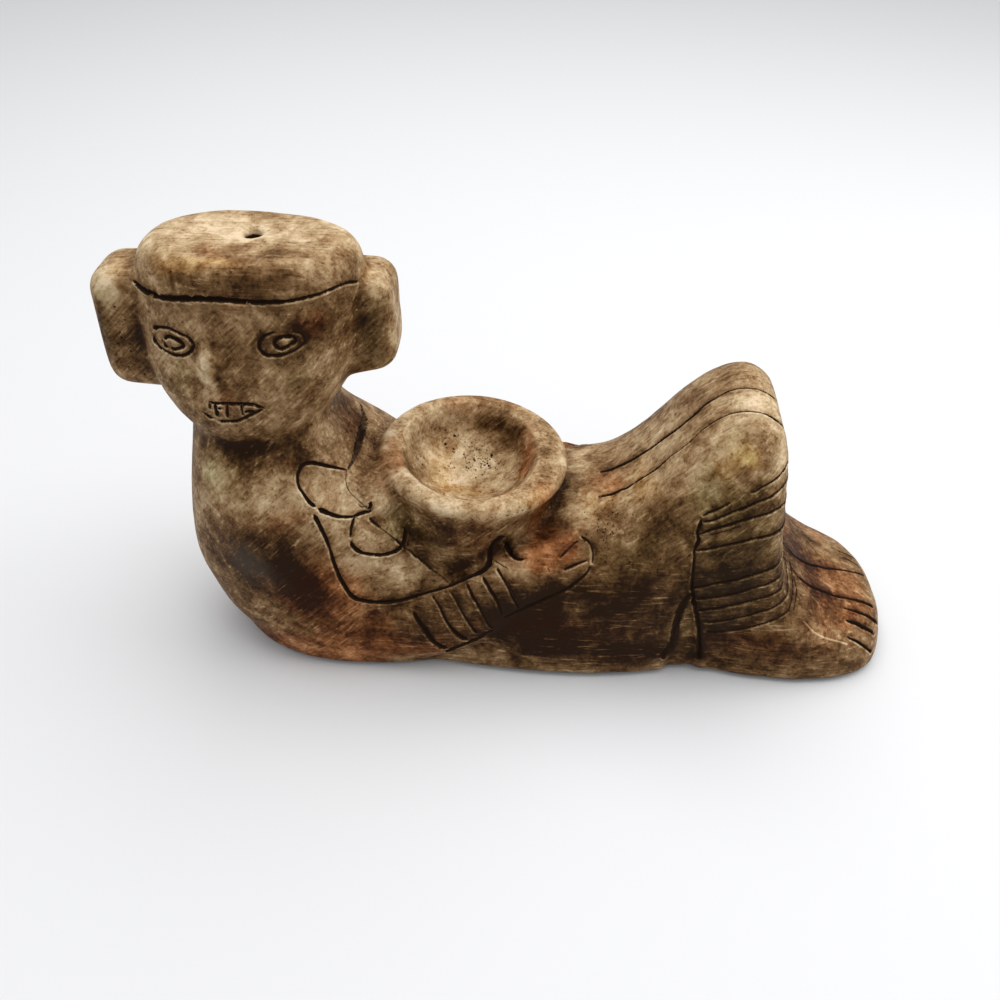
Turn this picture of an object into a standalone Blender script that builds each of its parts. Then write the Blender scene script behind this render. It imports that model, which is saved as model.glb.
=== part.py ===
"""Chac mool: a small hollow-cast clay figure that lies back with its knees up and holds a bowl.

The figure is one piece of fired clay. The tables below are in millimetres, in this frame:
+X runs to the feet, -Y is the side that the face looks to, and +Z is up from the ground.
"""

import math

import bmesh
import bpy
import numpy as np
from mathutils import Matrix, Vector
from mathutils.bvhtree import BVHTree
from mathutils.kdtree import KDTree

MM = 0.001
NODE = "chac_mool"

# Width and height of the rounded edge along the ground
BOTTOM_EDGE = (1.8, 4.0)

# Resolution
ROUGH_VOXEL = 2.0
FINE_VOXEL = 1.0
LOFT_SEGMENTS = 64
LOFT_ROWS = 48
TRIANGLES = 10500
# Edges that turn by more than this many degrees look sharp.
SHARP_ABOVE = 40

# The forms reach this far below the ground, and the ground cuts them flat.
SUNK = 25.0

# Torso and neck: height, back x, front x, half width
TORSO = (
    (-SUNK, -93, -4, 34),
    (6, -103.5, -6, 38.5),
    (18, -110, -10, 40),
    (34, -114.5, -14, 40),
    (46, -114.5, -20, 39.5),
    (58, -113, -27, 38),
    (70, -110.5, -41, 35),
    (80, -108.5, -51.5, 29),
    (90, -106.5, -58, 22.5),
    (104, -104, -61, 18.5),
)
# Belly, hips and thighs: x, top height, half width
LAP = (
    (-50, 40, 35),
    (-30, 50, 35),
    (-10, 55, 37),
    (8, 56.5, 39),
    (24, 60.6, 39.5),
    (34, 62.3, 39.5),
    (42, 66.8, 39),
    (49, 73.5, 38.5),
    (57, 84, 37.5),
    (65, 93.6, 37),
    (72, 99.8, 36.5),
    (78, 103, 36),
    (84, 103.2, 35),
    (90, 99, 33.5),
)
# Shins: height, back x, front x, half width
SHINS = (
    (-SUNK, 66, 105, 34),
    (20, 66, 104.5, 35),
    (34, 65, 100.5, 34.5),
    (46, 65, 97.5, 34),
    (60, 65, 95.5, 33.5),
    (74, 66, 93.8, 32),
    (86, 68, 93, 28),
    (93, 72, 92, 20),
)
# Feet: x, top height, half width
FEET = (
    (70, 30, 32),
    (84, 37, 36),
    (98, 37.5, 37.5),
    (105, 34, 38),
    (111, 29, 37.5),
    (118, 23.8, 37),
    (126, 20.2, 35),
    (134, 17.2, 30.5),
    (139.5, 13.5, 22),
    (142.4, 9.5, 10),
)
# Head, about its own middle: height, middle x, half width, front y, back y
CROWN_HEIGHT = 152.5
HEAD_AT = (-80.5, 0.0)
HEAD_TURN = -7.0
HEAD = (
    (84, -3.5, 16.5, -17, 16),
    (89, -3.5, 19.5, -22, 17),
    (94, -3, 24.5, -25.5, 18),
    (101, -2.6, 29.6, -27.5, 19.5),
    (110, -2, 33.5, -28, 21),
    (120, -1, 35.5, -26.5, 21.5),
    (132, 0, 36.5, -25.5, 21.5),
    (143, 1.4, 35.8, -25, 21.5),
    (149, 2, 33.8, -24, 20.5),
    (CROWN_HEIGHT, 2.4, 29.4, -20.5, 16.5),
)
# Nose, about the head's middle: middle, half sizes, and lean in degrees that brings its tip out
NOSE = ((-4.2, -23.8, 114.5), (6.6, 5.2, 12.5), 9)
# Near forearm and hand: x, y, z, half height, half thickness
FOREARM = (
    (-66, -29, 17, 16, 9),
    (-45, -31, 15, 16, 9),
    (-20, -32.5, 23, 15.5, 8),
    (0, -31.5, 38, 14, 8),
    (14, -30, 45, 11.5, 7.5),
    (26, -28, 48.5, 8.5, 6),
    (33, -27, 50, 5, 4),
)
# Ears: middle, half sizes, lean about Y in degrees, and how far in the outer corners lie, above and below
EARS = (
    ((-118.8, 2, 121.0), (11.8, 12.5, 22.0), 1.2, (1.5, 2)),
    ((-45.8, 3, 122.7), (11, 12, 18.9), -0.5, (1, 5)),
)

# Bowl
BOWL_AT = (-10.8, -1.0)
BOWL_LEAN = 4.5
RIM_HEIGHT = 74.7
RIM_RADIUS = 34.9
WALL_RADIUS = 31.5
# The bowl is an oval, a little narrower along X.
BOWL_SQUEEZE = 0.95
# The mouth is narrower again, and a little nearer to the chest.
MOUTH_RADIUS = 26.2
MOUTH_OFFSET = -1.7
MOUTH_SQUEEZE = 0.89
HOLLOW_DEPTH = 17.5
# Clay that joins the bowl to the chest: middle, half sizes and lean
BOWL_JOINT = ((-44, -15, 66.5), (11, 14, 8), 0)
# Half width and half height of the rounded lip
LIP = (3.4, 2.7)
# Outside of the bowl under its lip: added to the wall's radius, at this height from the rim
BOWL_WALL = ((1.5, -7), (0.3, -11), (-0.5, -20), (-2, -50))

# Vent hole in the crown
VENT_AT = (-77.0, 0.0)
VENT_RADIUS = 2.6
VENT_DEPTH = 14.0

# Carved lines: half width and depth
BROAD = (1.1, 1.3)
THIN = (0.9, 0.8)
STROKE_STEP = 0.5

# Headband groove, from ear to ear
HEADBAND = (
    (-114, -10, 141.5),
    (-102, -19.5, 141),
    (-88, -24, 142),
    (-72, -25, 143),
    (-58, -22.5, 143),
    (-44, -9, 142),
)
# Eyes: middle, then half width, half height and tilt of each ring
EYES = (
    ((-100, -21, 126.5), ((8.2, 5.4, -18), (4, 3.2, -12))),
    ((-66, -25.5, 128.7), ((7.3, 4.2, 6), (4, 2.8, 4))),
)
MOUTH = (
    (-93.5, -27, 108.5),
    (-84, -28.5, 109.5),
    (-77, -28, 109.5),
    (-73.5, -27.5, 107),
    (-78, -27, 103),
    (-86, -27, 101),
    (-93, -26.5, 103),
    (-93.5, -27, 108.5),
)
TEETH = (-89, -85, -80.5)

# Dark seam where the neck meets the bowl, and the two loops below it
SEAM = ((-50, 7, 81), (-50.5, -6, 82), (-51, -19, 80), (-51, -25, 77))
UPPER_LOOP = (
    (-52, -22, 80),
    (-60, -25, 84),
    (-66, -27, 84),
    (-67, -30, 79),
    (-62, -33.5, 72),
    (-55, -34, 69),
    (-48, -29, 69),
)
LOWER_LOOP = (
    (-50, -32, 69),
    (-51, -35.5, 64),
    (-50, -37, 59),
    (-44, -36.5, 55),
    (-36, -34, 54),
    (-33, -28, 58),
)
# Upper edge of the arm, from the shoulder round the elbow to the thumb
ARM = (
    (-62, -34, 71),
    (-59, -37, 63),
    (-56, -38.5, 50),
    (-51, -40, 39),
    (-45, -39, 35),
    (-35, -38, 34),
    (-21, -37, 39),
    (-9, -37, 47),
    (-6, -33, 51),
    (-5, -30, 55),
    (0, -29, 58),
)
THUMB = ((0, -29, 58), (1, -30, 54), (6, -31, 53.5))
FOREARM_UNDERSIDE = (
    (-21, -39, 10),
    (-12, -40, 18),
    (1, -39, 29),
    (18, -37, 39),
    (29, -34.5, 47),
    (32, -31, 51.5),
    (27, -25, 55),
)
FINGERS = (((20, -32.5, 54), (27, -26, 55)), ((21, -35, 50), (29, -32, 51)))
# Lines across the forearm: x and z of the upper end, then of the lower end
BRACELETS = (
    (-30, 30, -19, 13.5),
    (-24, 37, -12, 18.5),
    (-17, 41, -7, 22),
    (-11, 44, -2, 25),
    (-6, 47, 2, 30),
    (-2, 50, 7, 33),
)
BRACELET_BOW = 1.2

# Leg: back edge of the calf, then lines across the shin: height at the calf and rise to the front
CALF = ((65, -31, 79), (64, -35, 69), (63, -37, 58), (64, -37, 42))
SHIN_LINES = ((72, 10), (67, 8), (62, 6), (45, 6), (40, 5), (35, 5), (29, 5), (23, 5))
# Recess between thigh and heel: height, half width and depth
HEEL_GAP_X = 65.5
HEEL_GAP = ((44, 1, 1), (37, 1.6, 1.8), (28, 3.6, 3.4), (18, 5.4, 4.6), (8, 6.8, 5.2), (-6, 7, 5.2))

# Middle band of the legs: its near edge, then its far edge
NEAR_MIDDLE = (
    (34, -7, 59),
    (47, -9.5, 69),
    (63, -10, 90),
    (80, -10, 101),
    (91, -10, 94),
    (95.5, -10, 80),
    (97.5, -10, 46),
    (104, -10.5, 33),
    (108, -12.5, 28),
    (121, -12, 20),
    (139, -9.5, 13),
    (142, -9.5, 9),
)
FAR_MIDDLE = (
    (34, 8, 60),
    (47, 7.5, 71),
    (62, 4, 90),
    (80, 2.5, 101),
    (91, 2, 94),
    (95.5, 1, 80),
    (98, 0, 46),
    (104, -1.5, 33),
    (110, -1, 28),
    (120, 3, 21),
    (138, 6, 13),
    (142, 6.5, 9),
)
TOE_GAPS = (-28, -22, -16, 12, 18, 24)


def curve_through(rows, count):
    """This many rows, evenly spread along a Catmull-Rom curve through the given ones."""
    rows = np.array(rows, float)
    ends = np.vstack([2 * rows[0] - rows[1], rows, 2 * rows[-1] - rows[-2]])
    found = []
    for step in range(count):
        place = step / (count - 1) * (len(rows) - 1)
        first = min(int(place), len(rows) - 2)
        t = place - first
        a, b, c, d = ends[first : first + 4]
        bend = (c - a) * t + (2 * a - 5 * b + 4 * c - d) * t**2 + (3 * b - a - 3 * c + d) * t**3
        found.append(b + bend / 2)
    return found


def rounded(angle, powers):
    """A point of a superellipse of half size 1, with its powers in front and behind: 2 is round."""
    x, y = math.cos(angle), math.sin(angle)
    power = powers[0] if x > 0 else powers[1]
    return (
        math.copysign(abs(x) ** (2 / power), x),
        math.copysign(abs(y) ** (2 / power), y),
    )


def loft(rows, section, powers):
    """A closed body through the rows: a sphere whose rings are moved to their sections."""
    bm = bmesh.new()
    rings = LOFT_ROWS + 1
    bmesh.ops.create_uvsphere(bm, u_segments=LOFT_SEGMENTS, v_segments=rings, radius=1)
    rows = curve_through(rows, LOFT_ROWS)
    for vertex in bm.verts:
        ring = round(math.acos(max(-1, min(1, -vertex.co.z))) / math.pi * rings)
        row = rows[max(1, min(LOFT_ROWS, ring)) - 1]
        angle = math.atan2(vertex.co.y, vertex.co.x)
        across, along = (0, 0) if ring in (0, rings) else rounded(angle, powers)
        vertex.co = Vector(section(row, across, along)) * MM
    bmesh.ops.recalc_face_normals(bm, faces=bm.faces)
    return bm


def level_section(row, across, along):
    height, back, front, half_width = row
    x = (back + front) / 2 + across * (front - back) / 2
    return x, along * half_width, height


def upright_section(row, across, along):
    x, top, half_width = row
    middle = (top - SUNK) / 2
    return x, across * half_width, middle + along * (top - middle)


def head_section(row, across, along):
    height, middle, half_width, front, back = row
    return middle + across * half_width, along * (back if along > 0 else -front), height


def torso():
    return loft(TORSO, level_section, (3, 2.1))


def lap():
    return loft(LAP, upright_section, (3.2, 3.2))


def shins():
    return loft(SHINS, level_section, (5, 5))


def feet():
    return loft(FEET, upright_section, (3.4, 3.4))


def head_placing():
    turn = Matrix.Rotation(math.radians(HEAD_TURN), 4, "Z")
    return Matrix.Translation(Vector((*HEAD_AT, 0)) * MM) @ turn


def head():
    bm = loft(HEAD, head_section, (2.3, 2.3))
    bmesh.ops.transform(bm, matrix=head_placing(), verts=bm.verts)
    return bm


def lump(middle, half_sizes, lean):
    """An oval ball, leaned by this many degrees about X."""
    bm = bmesh.new()
    bmesh.ops.create_uvsphere(bm, u_segments=24, v_segments=16, radius=1)
    bmesh.ops.scale(bm, vec=Vector(half_sizes) * MM, verts=bm.verts)
    placing = Matrix.Translation(Vector(middle) * MM) @ Matrix.Rotation(math.radians(lean), 4, "X")
    bmesh.ops.transform(bm, matrix=placing, verts=bm.verts)
    return bm


def nose():
    bm = lump(*NOSE)
    bmesh.ops.transform(bm, matrix=head_placing(), verts=bm.verts)
    return bm


def ear(middle, half_sizes, lean, corners):
    """A block with well-rounded edges, which is less tall at its outer side."""
    bm = bmesh.new()
    bmesh.ops.create_cube(bm, size=2)
    bmesh.ops.scale(bm, vec=Vector(half_sizes) * MM, verts=bm.verts)
    outward = math.copysign(1, middle[0] - HEAD_AT[0])
    for vertex in bm.verts:
        if vertex.co.x * outward > 0:
            vertex.co.z += (-corners[0] if vertex.co.z > 0 else corners[1]) * MM
    bmesh.ops.bevel(
        bm,
        geom=bm.edges[:],
        offset=min(half_sizes) * 0.62 * MM,
        segments=5,
        profile=0.5,
        affect="EDGES",
        material=-1,
    )
    placing = Matrix.Translation(Vector(middle) * MM) @ Matrix.Rotation(math.radians(lean), 4, "Y")
    bmesh.ops.transform(bm, matrix=placing, verts=bm.verts)
    return bm


def forearm(side):
    """The forearm and hand in relief on one side: -1 is the near side and 1 the far side."""

    def section(row, across, along):
        x, y, z, half_height, half_thickness = row
        slope = math.radians(35)
        return (
            x - along * half_height * math.sin(slope),
            -side * y + across * half_thickness,
            z + along * half_height * math.cos(slope),
        )

    return loft(FOREARM, section, (2.6, 2.6))


def turned(profile, placing, segments=96):
    """A body turned about Z by a Screw modifier, from (radius, height) points down its outside."""
    mesh = bpy.data.meshes.new("profile")
    points = [(radius * MM, 0, height * MM) for radius, height in profile]
    mesh.from_pydata(points, [(at, at + 1) for at in range(len(points) - 1)], [])
    obj = bpy.data.objects.new("profile", mesh)
    bpy.context.scene.collection.objects.link(obj)
    screw = obj.modifiers.new("turn", "SCREW")
    screw.steps = segments
    screw.render_steps = segments
    screw.use_merge_vertices = True
    screw.merge_threshold = 0.00001
    apply_modifiers(obj)
    bm = from_mesh(obj)
    bpy.data.objects.remove(obj)
    bmesh.ops.recalc_face_normals(bm, faces=bm.faces)
    bmesh.ops.transform(bm, matrix=placing, verts=bm.verts)
    return bm


def bowl_placing():
    lean = Matrix.Rotation(math.radians(BOWL_LEAN), 4, "Y")
    squeeze = Matrix.Diagonal((BOWL_SQUEEZE, 1, 1, 1))
    return Matrix.Translation(Vector((*BOWL_AT, RIM_HEIGHT)) * MM) @ lean @ squeeze


def bowl():
    """The bowl's outside: a drum that widens softly into a rounded lip."""
    width, height = LIP
    lip = [
        (RIM_RADIUS - width + width * math.cos(angle), -height + height * math.sin(angle))
        for angle in np.linspace(math.pi / 2, -math.pi / 4, 9)
    ]
    wall = [(WALL_RADIUS + wider, height) for wider, height in BOWL_WALL]
    return turned([(0, 0), *lip, *wall, (0, -50)], bowl_placing())


def hollow():
    """The bowl's inside, up past the rim."""
    wall = [
        (MOUTH_RADIUS * math.sin(angle), -HOLLOW_DEPTH * math.cos(angle))
        for angle in np.linspace(math.radians(80), 0, 12)
    ]
    placing = Matrix.Translation((MOUTH_OFFSET * MM, 0, 0)) @ Matrix.Diagonal((MOUTH_SQUEEZE, 1, 1, 1))
    return turned([(0, 3), (MOUTH_RADIUS + 5, 3), *wall], bowl_placing() @ placing)


def vent():
    profile = [
        (0, CROWN_HEIGHT + 3),
        (VENT_RADIUS + 2.5, CROWN_HEIGHT + 1),
        (VENT_RADIUS, CROWN_HEIGHT - 2),
        (VENT_RADIUS, CROWN_HEIGHT - VENT_DEPTH),
        (0, CROWN_HEIGHT - VENT_DEPTH),
    ]
    return turned(profile, Matrix.Translation(Vector((*VENT_AT, 0)) * MM), segments=16)


def ground():
    bm = bmesh.new()
    bmesh.ops.create_cube(bm, size=1)
    bmesh.ops.scale(bm, vec=(0.6, 0.4, 0.1), verts=bm.verts)
    bmesh.ops.translate(bm, vec=(0, 0, -0.05), verts=bm.verts)
    return bm


def as_object(name, bm, collection):
    mesh = bpy.data.meshes.new(name)
    bm.to_mesh(mesh)
    bm.free()
    obj = bpy.data.objects.new(name, mesh)
    collection.objects.link(obj)
    return obj


def apply_modifiers(obj):
    graph = bpy.context.evaluated_depsgraph_get()
    mesh = bpy.data.meshes.new_from_object(obj.evaluated_get(graph))
    obj.modifiers.clear()
    obj.data = mesh


def fuse(name, bodies, collection, voxel, smoothing):
    """Joins overlapping bodies into one skin and softens the joints between them."""
    whole = bmesh.new()
    for body in bodies:
        mesh = bpy.data.meshes.new("form")
        body.to_mesh(mesh)
        body.free()
        whole.from_mesh(mesh)
        bpy.data.meshes.remove(mesh)
    obj = as_object(name, whole, collection)
    remesh = obj.modifiers.new("skin", "REMESH")
    remesh.mode = "VOXEL"
    remesh.voxel_size = voxel * MM
    smooth = obj.modifiers.new("soften", "SMOOTH")
    smooth.factor = 0.5
    smooth.iterations = smoothing
    apply_modifiers(obj)
    return obj


def cut(obj, cutter):
    boolean = obj.modifiers.new(cutter.name, "BOOLEAN")
    boolean.operation = "DIFFERENCE"
    boolean.object = cutter
    apply_modifiers(obj)


def from_mesh(obj):
    bm = bmesh.new()
    bm.from_mesh(obj.data)
    return bm


def oval(middle, half_width, half_height, tilt):
    """Points round an oval that faces -Y."""
    x, y, z = middle
    lean = math.radians(tilt)
    points = []
    for angle in np.linspace(0, math.tau, 13):
        across, up = half_width * math.cos(angle), half_height * math.sin(angle)
        points.append(
            (
                x + across * math.cos(lean) - up * math.sin(lean),
                y,
                z + across * math.sin(lean) + up * math.cos(lean),
            )
        )
    return points


def far_side(points):
    return [(x, -y, z) for x, y, z in points]


def head_strokes():
    found = [(HEADBAND, BROAD), (far_side(HEADBAND)[1:-1], BROAD), (MOUTH, THIN)]
    for middle, rings in EYES:
        found += [(oval(middle, *ring), THIN) for ring in rings]
    found += [(((x, -27.5, 109), (x + 0.5, -27, 102)), THIN) for x in TEETH]
    return found


def arm_strokes():
    found = [(ARM, BROAD), (FOREARM_UNDERSIDE, THIN), (THUMB, THIN)]
    found += [(finger, THIN) for finger in FINGERS]
    for x, z, low_x, low_z in BRACELETS:
        middle = ((x + low_x) / 2 - BRACELET_BOW, -40, (z + low_z) / 2 - BRACELET_BOW)
        found.append((((x, -38, z), middle, (low_x, -39, low_z)), THIN))
    return found


def leg_strokes(middle_y):
    """Lines of the near leg, which end at the middle band."""
    found = [(CALF, BROAD)]
    for height, rise in SHIN_LINES:
        top = height + rise
        front = float(np.interp(top, [row[0] for row in SHINS], [row[2] for row in SHINS]))
        points = (
            (66, -36, height),
            (80, -35, height + rise * 0.4),
            (front - 5, -31, height + rise * 0.85),
            (front, -22, top),
            (front, middle_y, top + 1),
        )
        found.append((points, THIN))
    return found


def toe_strokes():
    found = []
    for y in TOE_GAPS:
        tip = 141.5 - 7 * (abs(y) / 28) ** 3
        found.append((((tip - 14, y, 17), (tip - 7, y, 15), (tip, y, 10)), THIN))
    return found


def mirrored(strokes):
    return [(far_side(points), size) for points, size in strokes]


def all_strokes():
    near = arm_strokes() + leg_strokes(-10)
    far = mirrored(arm_strokes() + leg_strokes(-1))
    loops = [(SEAM, BROAD), (UPPER_LOOP, BROAD), (LOWER_LOOP, BROAD)]
    middle = [(NEAR_MIDDLE, BROAD), (FAR_MIDDLE, BROAD)]
    return head_strokes() + near + far + loops + middle + toe_strokes()


def groove(distance, size):
    """Depth of a rounded groove at this distance from its middle."""
    half_width, depth = size
    return depth * max(0.0, 1 - (distance / half_width) ** 2)


def carve(bm, strokes):
    """Presses the strokes into the surface, each along a curve through its points."""
    bm.normal_update()
    tree = BVHTree.FromBMesh(bm)
    marks = []
    for points, size in strokes:
        length = sum(math.dist(a, b) for a, b in zip(points, points[1:]))
        for point in curve_through(points, max(3, round(length / STROKE_STEP))):
            marks.append((tree.find_nearest(Vector(point) * MM)[0], size))
    near = KDTree(len(marks))
    for at, (place, size) in enumerate(marks):
        near.insert(place, at)
    near.balance()
    moves = []
    for vertex in bm.verts:
        place, at, distance = near.find(vertex.co)
        depth = groove(distance / MM, marks[at][1])
        if depth:
            moves.append((vertex, vertex.normal * -depth * MM))
    for vertex, move in moves:
        vertex.co += move


def press_heel_gap(bm, side):
    """The web between thigh and heel lies deeper than both: -1 is the near side and 1 the far side."""
    heights = [row[0] for row in reversed(HEEL_GAP)]
    for vertex in bm.verts:
        x, y, z = vertex.co / MM
        if y * side < 20 or z > HEEL_GAP[0][0]:
            continue
        half_width = np.interp(z, heights, [row[1] for row in reversed(HEEL_GAP)])
        depth = np.interp(z, heights, [row[2] for row in reversed(HEEL_GAP)])
        beyond = abs(x - HEEL_GAP_X) / half_width
        share = max(0.0, min(1.0, (1.5 - beyond) / 0.8))
        vertex.co.y -= side * depth * share * share * (3 - 2 * share) * MM


def round_foot(bm):
    """Draws the outline in near the ground, which leaves a rounded bottom edge."""
    bm.normal_update()
    width, height = BOTTOM_EDGE
    for vertex in bm.verts:
        share = min(1.0, 1 - vertex.co.z / MM / height)
        if share > 0:
            outward = Vector((vertex.normal.x, vertex.normal.y, 0))
            vertex.co -= outward * width * share * share * MM


def clay():
    material = bpy.data.materials.new("fired_clay")
    material.use_nodes = True
    shader = material.node_tree.nodes["Principled BSDF"]
    shader.inputs["Base Color"].default_value = (0.4, 0.29, 0.19, 1)
    shader.inputs["Roughness"].default_value = 0.55
    shader.inputs["Metallic"].default_value = 0.0
    return material


def new_collection(name, hidden=False):
    collection = bpy.data.collections.new(name)
    bpy.context.scene.collection.children.link(collection)
    collection.hide_render = hidden
    return collection


def add_cutter(name, form, collection):
    cutter = as_object(name, form, collection)
    cutter.display_type = "WIRE"
    cutter.hide_render = True
    return cutter


def middle_of_base(obj):
    """The point under the middle of the object's box."""
    low = [min(vertex.co[axis] for vertex in obj.data.vertices) for axis in range(3)]
    high = [max(vertex.co[axis] for vertex in obj.data.vertices) for axis in range(3)]
    return Vector(((low[0] + high[0]) / 2, (low[1] + high[1]) / 2, low[2]))


def main():
    for obj in list(bpy.data.objects):
        bpy.data.objects.remove(obj)
    figure = new_collection(NODE)
    cutters = new_collection("cutters", hidden=True)

    rough = fuse("rough", [torso(), lap(), shins(), feet(), head()], figure, ROUGH_VOXEL, 6)
    parts = [from_mesh(rough), bowl(), lump(*BOWL_JOINT), nose(), forearm(-1), forearm(1)]
    parts += [ear(*values) for values in EARS]
    bpy.data.objects.remove(rough)
    obj = fuse(NODE, parts, figure, FINE_VOXEL, 5)
    cut(obj, add_cutter("hollow", hollow(), cutters))

    skin = from_mesh(obj)
    press_heel_gap(skin, -1)
    press_heel_gap(skin, 1)
    carve(skin, all_strokes())
    round_foot(skin)
    skin.to_mesh(obj.data)
    skin.free()
    thin = obj.modifiers.new("thin", "DECIMATE")
    thin.ratio = TRIANGLES / len(obj.data.polygons) / 2
    apply_modifiers(obj)
    cut(obj, add_cutter("vent", vent(), cutters))
    cut(obj, add_cutter("ground", ground(), cutters))

    shift = -middle_of_base(obj)
    for item in (*figure.objects, *cutters.objects):
        item.data.transform(Matrix.Translation(shift))
    obj.data.materials.append(clay())
    obj.data.shade_smooth()
    obj.data.set_sharp_from_angle(angle=math.radians(SHARP_ABOVE))
    return shift


SHIFT_FOUND = main()
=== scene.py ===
"""Chac mool: the fired-clay figure's carved skin and rubbed-back patina, its table, light and camera.

Sizes are in millimetres in the potter's drawing, where +X runs to the toes, -Y is the side that
the face looks to and the table is at height 0. The finished skin is then set over the CAD solid.
"""

import math

import bmesh
import bpy
import numpy as np
from mathutils import Matrix, Vector, noise
from mathutils.bvhtree import BVHTree
from mathutils.kdtree import KDTree


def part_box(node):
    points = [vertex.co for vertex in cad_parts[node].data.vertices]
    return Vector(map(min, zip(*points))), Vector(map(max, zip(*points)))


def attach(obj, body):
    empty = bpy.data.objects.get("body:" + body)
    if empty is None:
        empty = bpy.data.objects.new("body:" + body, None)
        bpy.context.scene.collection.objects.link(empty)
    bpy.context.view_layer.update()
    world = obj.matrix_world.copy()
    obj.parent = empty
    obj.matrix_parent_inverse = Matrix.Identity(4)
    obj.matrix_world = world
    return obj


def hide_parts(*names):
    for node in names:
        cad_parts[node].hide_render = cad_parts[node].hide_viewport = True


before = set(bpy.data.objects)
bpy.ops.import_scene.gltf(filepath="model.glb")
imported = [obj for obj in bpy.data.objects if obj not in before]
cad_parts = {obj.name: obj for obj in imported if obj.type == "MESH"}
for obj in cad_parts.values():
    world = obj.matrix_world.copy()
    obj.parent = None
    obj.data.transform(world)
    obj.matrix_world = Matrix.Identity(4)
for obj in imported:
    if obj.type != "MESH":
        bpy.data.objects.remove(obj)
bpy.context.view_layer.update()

MM = 0.001
FIGURE = "chac_mool"

# Fineness of the clay skin
ROUGH_VOXEL = 2.0
SOFT_VOXEL = 1.0
SKIN_VOXEL = 0.9
SHADE_VOXEL = 3.2
LOFT_SEGMENTS = 72
LOFT_ROWS = 54
SKIN_TRIANGLES = 192000
# The skin's faces are halved within the first distance of a stroke, and once more within the second.
HALVED_WITHIN = (1.9, 1.25)
# The forms reach below the table, and the lump is cut just under it before it is skinned.
SUNK = 25.0
CUT_BELOW = 4.0
# Width and height of the rounded edge along the table
BOTTOM_EDGE = (3.4, 4.0)

# Torso and neck: height, back x, front x, half width
TORSO = (
    (-SUNK, -93, -4, 34),
    (6, -103.5, -6, 38.5),
    (18, -110, -10, 40),
    (34, -114.5, -14, 40),
    (46, -114.5, -20, 39.5),
    (58, -113, -27, 38),
    (70, -110.5, -41, 35),
    (80, -108.5, -51.5, 29),
    (90, -106.5, -58, 22.5),
    (104, -104, -61, 18.5),
)
# Belly, hips and thighs: x, top height, half width
LAP = (
    (-50, 40, 35),
    (-30, 50, 35),
    (-10, 55, 37),
    (8, 56.5, 39),
    (24, 60.6, 39.5),
    (34, 62.3, 39.5),
    (42, 66.8, 39),
    (49, 73.5, 38.5),
    (57, 84, 37.5),
    (65, 93.6, 37),
    (72, 99.8, 36.5),
    (78, 103, 36),
    (84, 103.2, 35),
    (90, 99, 33.5),
)
# Shins: height, back x, front x, half width
SHINS = (
    (-SUNK, 66, 105, 34),
    (20, 66, 104.5, 35),
    (34, 65, 100.5, 34.5),
    (46, 65, 97.5, 34),
    (60, 65, 95.5, 33.5),
    (74, 66, 93.8, 32),
    (86, 68, 93, 28),
    (93, 72, 92, 20),
)
# Feet: x, top height, half width
FEET = (
    (70, 30, 32),
    (84, 37, 36),
    (98, 37.5, 37.5),
    (105, 34, 38),
    (111, 29, 37.5),
    (118, 23.8, 37),
    (126, 20.2, 35),
    (134, 17.2, 30.5),
    (139.5, 13.5, 22),
    (142.4, 9.5, 10),
)
# Head, about its own middle: height, middle x, half width, front y, back y
CROWN_HEIGHT = 152.5
HEAD_AT = (-80.5, 0.0)
HEAD_TURN = -7.0
HEAD = (
    (84, -3.5, 16.5, -17, 16),
    (89, -3.5, 19.5, -22, 17),
    (94, -3, 24.5, -25.5, 18),
    (101, -2.6, 29.6, -27.5, 19.5),
    (110, -2, 33.5, -28, 21),
    (120, -1, 35.5, -26.5, 21.5),
    (132, 0, 36.5, -25.5, 21.5),
    (143, 1.4, 35.8, -25, 21.5),
    (149, 2, 33.8, -24, 20.5),
    (CROWN_HEIGHT, 2.4, 29.4, -20.5, 16.5),
)
# Nose, about the head's middle: middle, half sizes, and lean in degrees that brings its tip out
NOSE = ((-4.2, -23.8, 114.5), (6.6, 5.2, 12.5), 9)
# Near forearm and hand: x, y, z, half height, half thickness
FOREARM = (
    (-66, -29, 17, 16, 9),
    (-45, -31, 15, 16, 9),
    (-20, -32.5, 23, 15.5, 8),
    (0, -31.5, 38, 14, 8),
    (14, -30, 45, 11.5, 7.5),
    (26, -28, 48.5, 8.5, 6),
    (33, -27, 50, 5, 4),
)
# Ears: middle, half sizes, lean about Y in degrees, and how far in the outer corners lie, above and below
EARS = (
    ((-118.8, 2, 121.0), (11.8, 12.5, 22.0), 1.2, (1.5, 2)),
    ((-45.8, 3, 122.7), (11, 12, 18.9), -0.5, (1, 5)),
)

# Bowl
BOWL_AT = (-10.8, -1.0)
BOWL_LEAN = 4.5
RIM_HEIGHT = 74.7
RIM_RADIUS = 34.9
WALL_RADIUS = 31.5
# The bowl is an oval, a little narrower along X.
BOWL_SQUEEZE = 0.95
# The mouth is narrower again, and a little nearer to the chest.
MOUTH_RADIUS = 26.2
MOUTH_OFFSET = -1.7
MOUTH_SQUEEZE = 0.89
HOLLOW_DEPTH = 17.5
# Clay that joins the bowl to the chest: middle, half sizes and lean
BOWL_JOINT = ((-44, -15, 66.5), (11, 14, 8), 0)
# Half width and half height of the rounded lip
LIP = (3.4, 2.7)
# Outside of the bowl under its lip: added to the wall's radius, at this height from the rim
BOWL_WALL = ((1.5, -7), (0.3, -11), (-0.5, -20), (-2, -50))

# Vent hole in the crown
VENT_AT = (-77.0, 0.0)
VENT_RADIUS = 2.6
VENT_DEPTH = 14.0

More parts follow.
